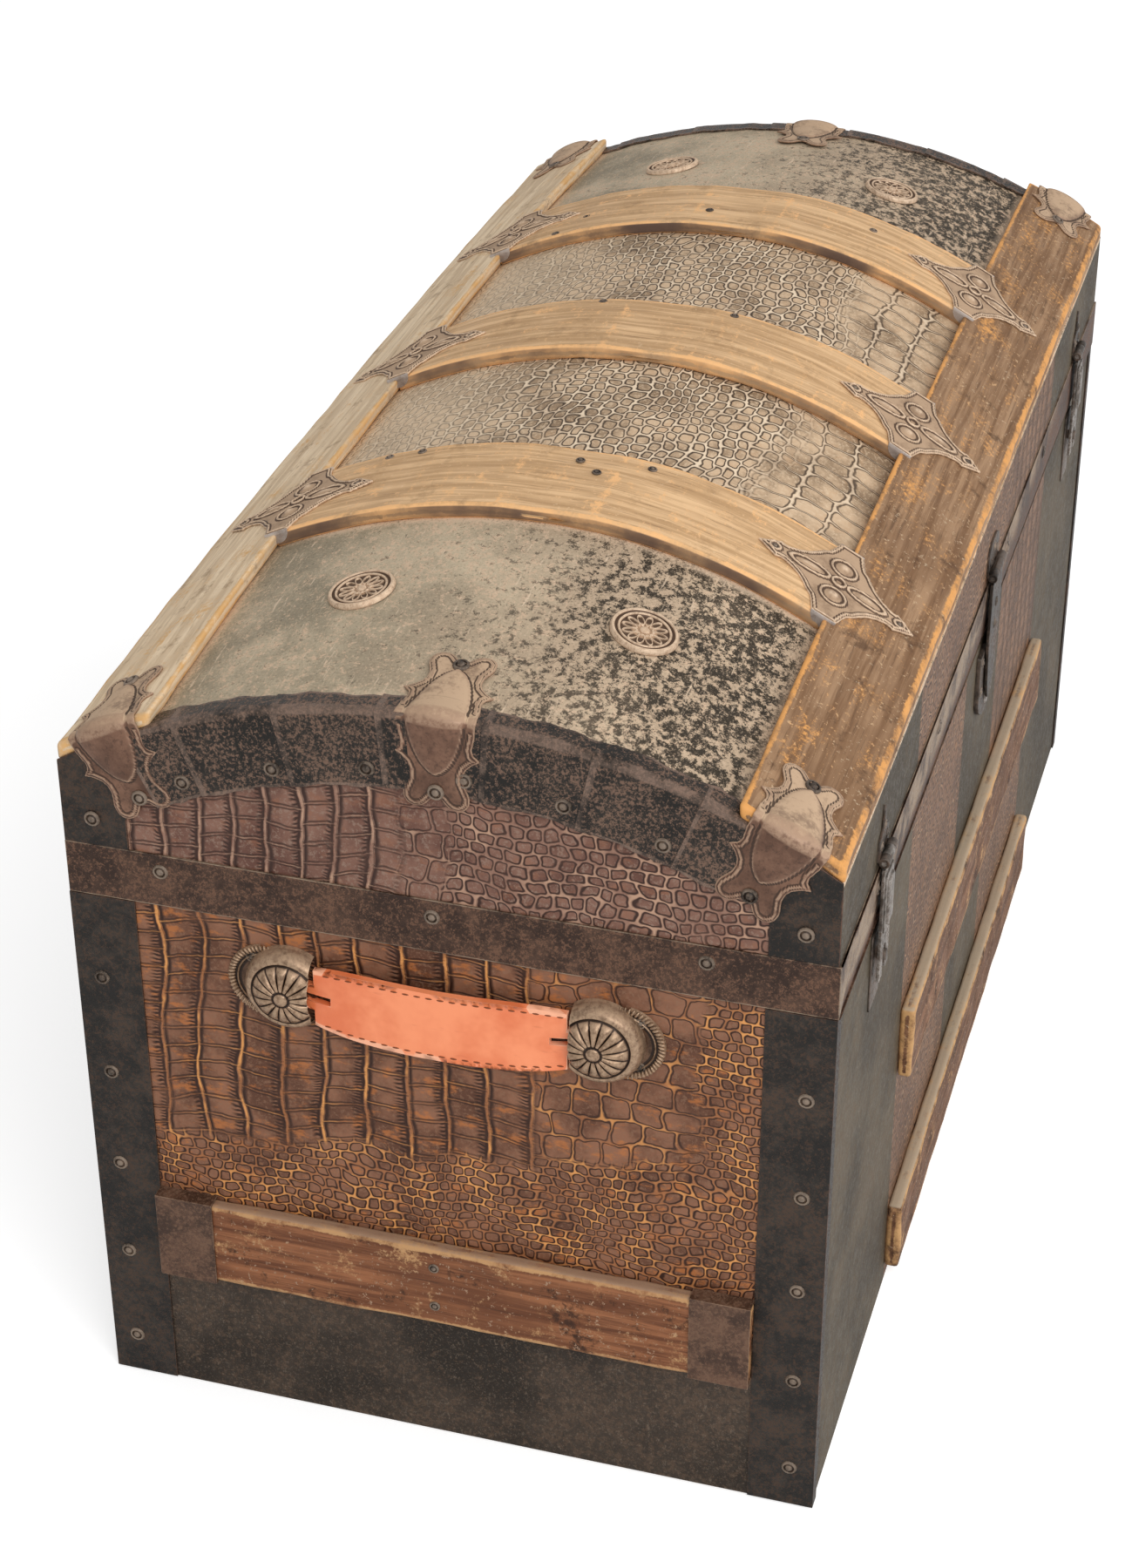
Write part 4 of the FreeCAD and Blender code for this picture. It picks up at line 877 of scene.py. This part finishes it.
def foldClamp(piece, radius, angle):
    # v below 0 hangs down the end, v above 0 lies on the dome
    bend, blend = clampSizes["foldRadius"], clampSizes["blend"]
    quarterArc = bend * pi / 4
    for vertex in piece.data.vertices:
        u, v, lift = vertex.co
        if abs(v) < quarterArc:
            turn = pi / 4 + v / bend
            x = -(caseEnd - bend) - (bend + lift) * cos(turn)
            r = radius - bend + (bend + lift) * sin(turn)
        elif v < 0:
            x = -caseEnd - lift
            r = radius - bend + (v + quarterArc)
        else:
            x = -caseEnd + bend + (v - quarterArc)
            r = radius + lift
        # straight below the fold, round the dome above it
        share = min(max(0.5 + v / (2 * blend), 0.0), 1.0)
        y = u * (1 - share) + r * sin(u / radius) * share
        z = r * (1 - share) + r * cos(u / radius) * share
        vertex.co = (x, y, z)
    piece.data.transform(Matrix.Translation((0, 0, domeAxis)) @ Matrix.Rotation(-angle, 4, "X"))
    return piece


nailSizes = {"head": 0.0025, "ring": 0.0048, "height": 0.0018}


def nailHead():
    head, ring, height = nailSizes["head"], nailSizes["ring"], nailSizes["height"]
    return lathe("nailHead", [(0, height), (head * 0.6, height * 0.82), (head * 0.95, height * 0.25),
            (head * 1.15, height * 0.1), (ring * 0.7, height * 0.55), (ring * 0.88, height * 0.5),
            (ring, height * 0.1), (ring, -0.0004)], 14)


oneNail = nailHead()
nailPlaces = {}


def nailAt(body, place, normal, size=1.0):
    nailPlaces.setdefault(body, []).append((Vector(place), Vector(normal), size))


clampBlank = stamp("clampBlank", clampOutline(), clampHeight, clampSizes["plate"], 0.001)
plankAngle = asin((caseSide - 0.0285) / slatRadius)
clamps = []
for radius, angle in ((edgingRadius, 0.0), (slatRadius, plankAngle), (slatRadius, -plankAngle)):
    clamp = foldClamp(copyOf(clampBlank, "clamp"), radius + 0.0001, angle)
    clamps.append(clamp)
    clamps.append(copyOf(clamp, "clampRight", Matrix.Diagonal((-1, 1, 1, 1))))
    for side in (-1, 1):
        above = radius + clampSizes["plate"] + 0.0008
        nailAt("lid", onDome(side * (caseEnd - clampSizes["nail"]), above, angle), radial(angle))
        nailAt("lid", onDome(side * (plateEnd + clampSizes["plate"]), radius - clampSizes["nail"], angle),
                (side, 0, 0))
bpy.data.objects.remove(clampBlank)
complete(join(clamps, "endClamps"), clampIron, "lid", "end_clamps", lifted=True)


def lozengeOutline():
    quarter = [(0, 51), (3.6, 45.5), (9, 37.6), (7.4, 36.6), (7.4, 33.5), (9.8, 28), (13.9, 22.5),
            (18.9, 18.3), (23.6, 15.4), (26.2, 12.4), (30.5, 10.6), (36, 9), (40.3, 7.6)]
    right = [(x / 1000, y / 1000) for x, y in quarter]
    lower = [(x, -y) for x, y in right[::-1]]
    left = [(-x, y) for x, y in (right + lower)[::-1] if abs(x) > 0.0001]
    return right + lower + left


def lozengeHeight(x, y, inset):
    # two long pillows and two round ones, each in a raised line, a ring in the middle and one at each tip
    height = 0.0009 * hill(abs(inset - 0.002), 0.001)
    for side in (-1, 1):
        long = hypot(x / 0.0052, (y * side - 0.0182) / 0.0122)
        height += 0.0015 * hill(long, 0.85) + 0.0011 * hill(abs(long - 1.0) * 0.006, 0.0012)
        round = hypot(x * side - 0.0158, y) / 0.0078
        height += 0.0022 * hill(round, 0.85) + 0.001 * hill(abs(round - 1.0) * 0.0078, 0.0012)
        height += 0.001 * hill(abs(hypot(x, y * side - lozengeNail) - 0.0032), 0.0014)
    return height + 0.0016 * hill(abs(hypot(x, y) - 0.004), 0.0014)


lozengeNail = 0.0405
lozengeBlank = stamp("lozengeBlank", lozengeOutline(), lozengeHeight, 0.0015, 0.0009)
lozengeAngle = asin(0.165 / slatRadius)
lozenges = []
for x in slatColumns:
    for side in (-1, 1):
        blank = copyOf(lozengeBlank, "lozenge")
        lozenges.append(wrapOnDome(blank, slatRadius + 0.0001, side * lozengeAngle, x))
        for along in (-lozengeNail, lozengeNail):
            turn = side * lozengeAngle + along / slatRadius
            nailAt("lid", onDome(x, slatRadius + 0.0014, turn), radial(turn), 0.62)
bpy.data.objects.remove(lozengeBlank)
complete(join(lozenges, "slatClamps"), lozengeIron, "lid", "slat_clamps", lifted=True)


def buildTabs():
    # the half-round tabs that fold down over both sides of each slat
    sizes = {"radius": 0.0078, "thick": 0.0009, "out": 0.04, "top": 0.4251}
    bpy.ops.mesh.primitive_cylinder_add(vertices=40, radius=sizes["radius"], depth=sizes["thick"])
    tab = bpy.context.object
    edit(tab)
    cut((0, 0, 0), (1, 0, 0), clear_outer=True, use_fill=True)
    done()
    ease(tab, 0.0003, 2)
    tabs = []
    for x in slatColumns:
        for side in (-1, 1):
            for face in (-1, 1):
                upright = Matrix(((0, 0, 1, x + face * sizes["out"]), (0, 1, 0, 0), (1, 0, 0, sizes["top"]),
                        (0, 0, 0, 1)))
                turned = Matrix.Translation((0, 0, domeAxis)) @ Matrix.Rotation(-side * lozengeAngle, 4, "X")
                tabs.append(copyOf(tab, "tab", turned @ upright))
    bpy.data.objects.remove(tab)
    complete(join(tabs, "slatTabs"), tabIron, "lid", lifted=True)


buildTabs()


def buildRosettes():
    sizes = {"petals": 12, "petalRing": 0.0087, "nail": 0.003, "petal": (0.0029, 0.00055)}
    parts = [lathe("roseDish", [(0, 0.0014), (0.006, 0.0014), (0.0134, 0.0014), (0.0142, 0.0026),
            (0.015, 0.0028), (0.0157, 0.0017), (0.0166, 0.0017), (0.0174, 0.003), (0.0186, 0.0029),
            (0.0195, 0.0014), (0.0196, 0.0)], 72)]
    for step in range(sizes["petals"]):
        bpy.ops.mesh.primitive_torus_add(major_radius=sizes["petal"][0], minor_radius=sizes["petal"][1],
                major_segments=20, minor_segments=6)
        petal = bpy.context.object
        petal.data.transform(Matrix.Diagonal((1.42, 0.62, 1.5, 1)))
        turn = tau * step / sizes["petals"]
        petal.data.transform(Matrix.Rotation(turn, 4, "Z") @
                Matrix.Translation((sizes["petalRing"], 0, 0.0016)))
        parts.append(petal)
    parts.append(bead("roseNail", (0, 0, 0.0016), (sizes["nail"], sizes["nail"], 0.0018), 20, 12))
    rose = join(parts, "rose")
    lean = asin(0.082 / skinRadius)
    roses = []
    for x in (-0.34, 0.34):
        for side in (-1, 1):
            turned = Matrix.Translation((x, 0, domeAxis)) @ Matrix.Rotation(-side * lean, 4, "X")
            roses.append(copyOf(rose, "rose", turned @ Matrix.Translation((0, 0, skinRadius))))
    bpy.data.objects.remove(rose)
    complete(join(roses, "stampedRoses"), lozengeIron, "lid", "rosettes", lifted=True)


buildRosettes()


print("arch edging")


def buildEdging():
    sizes = {"width": 0.047, "over": 0.012, "corner": 0.0025, "thick": 0.0012, "lift": 0.0011, "lap": 0.0035,
            "above": 0.0002, "nail": 0.036, "nailStep": 0.013}
    seams = [-0.1832, -0.149, -0.09, -0.03, 0.03, 0.09, 0.149, 0.1832]
    total = sizes["width"] + sizes["over"]
    tabs = []
    for index, (start, stop) in enumerate(zip(seams, seams[1:])):
        bpy.ops.mesh.primitive_grid_add(x_subdivisions=14, y_subdivisions=26, size=1.0)
        tab = bpy.context.object
        first = asin(start / edgingRadius)
        last = asin(stop / edgingRadius) + (sizes["lap"] / edgingRadius if index < len(seams) - 2 else 0.0)
        for vertex in tab.data.vertices:
            across = vertex.co.x + 0.5
            down = (vertex.co.y + 0.5) * total
            turn = first + (last - first) * across
            lift = sizes["lift"] * across
            uneven = 0.001 * sin(across * 9 + index * 2.1) + 0.0007 * sin(across * 23 + index)
            top = edgingRadius + sizes["above"] + lift * 0.6
            if down < sizes["over"]:
                x, r = -caseEnd + sizes["corner"] + sizes["over"] - down + uneven, top
            else:
                fall = down - sizes["over"]
                x, r = -caseEnd - lift, edgingRadius - fall
                if fall < sizes["corner"]:
                    x += sizes["corner"] * (1 - fall / sizes["corner"]) ** 2
                    r = top - fall * 0.6
                if vertex.co.y > 0.499:
                    r += uneven * 0.6
            vertex.co = onDome(x, r, turn)
        tabs.append(modify(tab, "SOLIDIFY", thickness=sizes["thick"], offset=0.0))
        if 0 < index < len(seams) - 1:
            for side in (-1, 1):
                turn = first + sizes["nailStep"] / edgingRadius
                nailAt("lid", onDome(side * plateEnd, edgingRadius - sizes["nail"], turn), (side, 0, 0))
    left = join(tabs, "archEdging")
    right = copyOf(left, "archEdgingRight", Matrix.Diagonal((-1, 1, 1, 1)))
    complete(join([left, right], "archEdging"), edgingIron, "lid", "arch_edging", smooth=30, lifted=True)


buildEdging()


print("handles")

capSizes = {"height": 0.32, "centre": 0.091, "panel": 0.4555, "mouth": 0.015, "flange": 0.024,
        "flangeOut": 0.013, "ribs": 16, "rib": 0.0021, "shell": 0.0013, "twists": 34}


def capDome():
    profile = [(0.0262, 0.0), (0.026, 0.003), (0.0252, 0.0065), (0.0238, 0.0092), (0.0219, 0.011),
            (0.0203, 0.0113), (0.0194, 0.0108), (0.0186, 0.0118), (0.0172, 0.0134), (0.0148, 0.0148),
            (0.012, 0.0158), (0.009, 0.0164), (0.006, 0.0168), (0.0044, 0.0168), (0.0038, 0.0176),
            (0.0022, 0.0184), (0, 0.0186)]
    dome = lathe("capDome", profile, capSizes["ribs"] * 8)
    for vertex in dome.data.vertices:
        r = hypot(vertex.co.x, vertex.co.y)
        if 0.0046 < r < 0.0193:
            turn = atan2(vertex.co.y, vertex.co.x)
            wave = abs(cos(turn * capSizes["ribs"] / 2))
            vertex.co.z += capSizes["rib"] * (wave ** 0.7 - 0.62) * hill(abs(r - 0.0118), 0.0082) ** 0.5
    edit(dome)
    cut((0, -capSizes["mouth"], 0), (0, 1, 0), clear_inner=True)
    bpy.ops.mesh.select_all(action="SELECT")
    bpy.ops.mesh.normals_make_consistent(inside=False)
    done()
    return modify(dome, "SOLIDIFY", thickness=capSizes["shell"], offset=-1.0)


def buildCaps():
    flange = lathe("capFlange", [(0, 0.0012), (0.009, 0.0012), (0.016, 0.0012), (0.0176, 0.0012),
            (0.0184, 0.0022), (0.0192, 0.0012), (0.0204, 0.0011), (capSizes["flange"], 0.0012),
            (capSizes["flange"] + 0.0003, 0.0)], 72)
    edit(flange)
    cut((0, 0.004, 0), (0, 1, 0), clear_inner=True)
    done()
    flange.data.transform(Matrix.Translation((0, capSizes["flangeOut"], 0)))
    parts = [capDome(), flange]
    for step in range(capSizes["twists"]):
        turn = radians(-10 + 200 * step / (capSizes["twists"] - 1))
        twist = bead("ropeTwist", (0, 0, 0), (0.0023, 0.00085, 0.0013), 10, 6)
        around = Matrix.Translation((0, capSizes["flangeOut"], 0.0017)) @ Matrix.Rotation(turn, 4, "Z")
        twist.data.transform(around @ Matrix.Translation((0.0222, 0, 0)) @
                Matrix.Rotation(radians(14), 4, "Z"))
        parts.append(twist)
    cap = join(parts, "cap")
    caps = []
    for end, side in ((-1, 1), (-1, -1), (1, 1), (1, -1)):
        place = Matrix(((0, 0, end, end * capSizes["panel"]), (0, side, 0, side * capSizes["centre"]),
                (1, 0, 0, capSizes["height"]), (0, 0, 0, 1)))
        caps.append(copyOf(cap, "cap", place))
        for lift in (-1, 1):
            nailAt("body", (end * (capSizes["panel"] + 0.0012), side * (0.104 + 0.0096),
                    capSizes["height"] + lift * 0.015), (end, 0, 0), 0.72)
    bpy.data.objects.remove(cap)
    complete(join(caps, "stampedCaps"), capBronze, "body", "handle_caps")


buildCaps()


strapSizes = {"hang": 0.0042, "middle": 0.94, "taper": 0.22, "reach": 0.098, "low": 0.296, "high": 0.344,
        "bow": 0.006, "face": 0.4615, "row": 0.0205, "step": 0.0068, "stitched": 0.07}


def strapLine(y, height):
    share = min(abs(y) / 0.08, 1.0)
    width = strapSizes["middle"] - strapSizes["taper"] * share ** 4
    return capSizes["height"] + height * width - strapSizes["hang"] * (1.0 - share ** 2)


def buildStrap(name, node, body, end):
    strap = solidCopy(name, node, 0.3)
    ease(strap, 0.0016, 2, profile=1.0)
    ease(strap, 0.0009, 3)
    edit(strap)
    low, high = (0, -strapSizes["reach"], strapSizes["low"]), (0, strapSizes["reach"], strapSizes["high"])
    slices(low, high, 1, 40)
    slices(low, high, 2, 12)
    done()
    modify(strap, "TRIANGULATE")
    roughen(strap, 0.0006, 0.05)
    for vertex in strap.data.vertices:
        vertex.co.z = strapLine(vertex.co.y, vertex.co.z - capSizes["height"])
    complete(strap, tanLeather, body, node, smooth=35)
    stitches = []
    count = int(2 * strapSizes["stitched"] / strapSizes["step"])
    for row in (-1, 1):
        for index in range(count + 1):
            y = -strapSizes["stitched"] + index * strapSizes["step"]
            out = strapSizes["face"] + strapSizes["bow"] * (1 - (y / strapSizes["reach"]) ** 2)
            stitches.append(bead("stitch", (end * out, y, strapLine(y, row * strapSizes["row"])),
                    (0.0005, 0.0021, 0.0005), 8, 5))
    complete(join(stitches, name + "Stitches"), stitchThread, body, smooth=60, worn=False)


buildStrap("leftStrap", "left_handle_strap", "left_handle", -1)
buildStrap("rightStrap", "right_handle_strap", "right_handle", 1)


print("lock and latches")


def faceAt(node, x, z, way=1):
    # where a line along y, from the front or the back, meets a fitting
    mesh = nodes[node].data
    tree = BVHTree.FromPolygons([vertex.co for vertex in mesh.vertices],
            [face.vertices for face in mesh.polygons])
    place = tree.ray_cast(Vector((x, -0.35 * way, z)), Vector((0, way, 0)))[0]
    return place.y if place else None


def rivet(body, node, x, z, size=0.6):
    y = faceAt(node, x, z)
    if y is not None:
        nailAt(body, (x, y, z), (0, -1, 0), size)


def buildFittings():
    fitting = "fitting_hinge_plates"
    for side, x in (("left", -0.35), ("right", 0.35)):
        for step, z in ((0.0, 0.4185), (-0.0075, 0.4085), (0.0075, 0.4085)):
            rivet("lid", fitting, x + step, z)
        y = faceAt(side + "_latch_tongue", x, 0.372)
        lever = block(side + "Lever", (x - 0.0065, y - 0.0024, 0.356), (x + 0.0065, y + 0.0002, 0.386),
                0.0011, 3)
        rim = block("leverRim", (x - 0.0095, y - 0.001, 0.352), (x + 0.0095, y + 0.0002, 0.39), 0.0005, 3)
        complete(join([lever, rim], side + "Lever"), greySteel, side + "_latch")
    for x, z in ((-0.012, 0.4085), (0.012, 0.4085), (0.0, 0.4145)):
        rivet("lid", fitting, x, z)
    for x, z in ((-0.0225, 0.3405), (0.0225, 0.3405), (-0.0225, 0.3185), (0.0225, 0.3185)):
        rivet("body", "lock_case", x, z, 0.7)
    keyPlace = (Matrix.Translation((0, faceAt("lock_case", 0.0, 0.305), 0.306)) @
            Matrix.Rotation(radians(90), 4, "X"))
    shield = lathe("keyShield", [(0.003, 0.0008), (0.0036, 0.0013), (0.0062, 0.0013), (0.007, 0.0004),
            (0.007, -0.0004)], 32)
    shield.data.transform(keyPlace)
    complete(shield, greySteel, "body")
    # painted shadow of the keyhole: a black disc and slot laid on the lock face
    hole = lathe("keyHole", [(0, 0.0003), (0.0029, 0.0003), (0.0031, -0.0004)], 24)
    slot = block("keySlot", (-0.001, -0.0052, -0.0004), (0.001, 0.0, 0.0004), 0)
    hole = join([hole, slot], "keyHole")
    hole.data.transform(keyPlace)
    complete(hole, keyholeShadow, "body", worn=False)
    for z in (0.3585, 0.375):
        rivet("hasp", "hasp", 0.0, z, 0.7)


buildFittings()


def hingeNails():
    # three nails in each leaf of the hinges on the back
    sizes = {"mirror": 0.7445, "nail": 0.7}
    for middle in (-0.3, 0.0, 0.3):
        for along, z in ((-0.012, 0.404), (0.012, 0.404), (0.0, 0.392)):
            x = middle + along
            for body, leaf, height in (("lid", "hinge_upper_leaves", z),
                    ("body", "hinge_lower_leaves", sizes["mirror"] - z)):
                nailAt(body, (x, faceAt(leaf, x, height, -1), height), (0, 1, 0), sizes["nail"])


hingeNails()


print("nails")


def placeNails():
    # ring-headed nails of the strips, the band and the planks
    for end in (-1, 1):
        outward = (end, 0, 0)
        for side in (-1, 1):
            for z in (0.03, 0.098, 0.166, 0.234, 0.302):
                nailAt("body", (end * 0.4567, side * 0.2075, z), outward)
            nailAt("lid", (end * 0.4582, side * 0.2035, 0.412), outward)
        for y in (-0.15, 0.005, 0.165):
            nailAt("lid", (end * caseEnd, y, 0.383), outward)
        for z in (0.1085, 0.1375):
            nailAt("body", (end * 0.4645, 0.008, z), outward, 0.7)
    for x in (-0.36, -0.18, 0.06, 0.21, 0.37):
        nailAt("lid", (x, -0.2232, 0.383), (0, -1, 0))
    for x, y in ((-0.185, 0.119), (-0.155, 0.098), (-0.197, -0.004), (-0.208, -0.017), (-0.19, -0.046),
            (0.084, -0.04), (0.081, 0.048), (0.117, 0.126), (0.205, 0.02), (0.235, -0.09), (0.21, 0.11)):
        turn = asin(y / slatRadius)
        column = min(slatColumns, key=lambda middle: abs(middle - x))
        x = min(max(x, column - 0.034), column + 0.034)
        nailAt("lid", onDome(x, slatRadius, turn), radial(turn), 0.6)


placeNails()
for body, places in nailPlaces.items():
    heads = []
    for place, normal, size in places:
        turn = Vector((0, 0, 1)).rotation_difference(normal.normalized()).to_matrix().to_4x4()
        heads.append(copyOf(oneNail, "nail", Matrix.Translation(place) @ turn @ Matrix.Scale(size, 4)))
    complete(join(heads, body + "Nails"), nailIron, body, smooth=50, lifted=body == "lid")
bpy.data.objects.remove(oneNail)
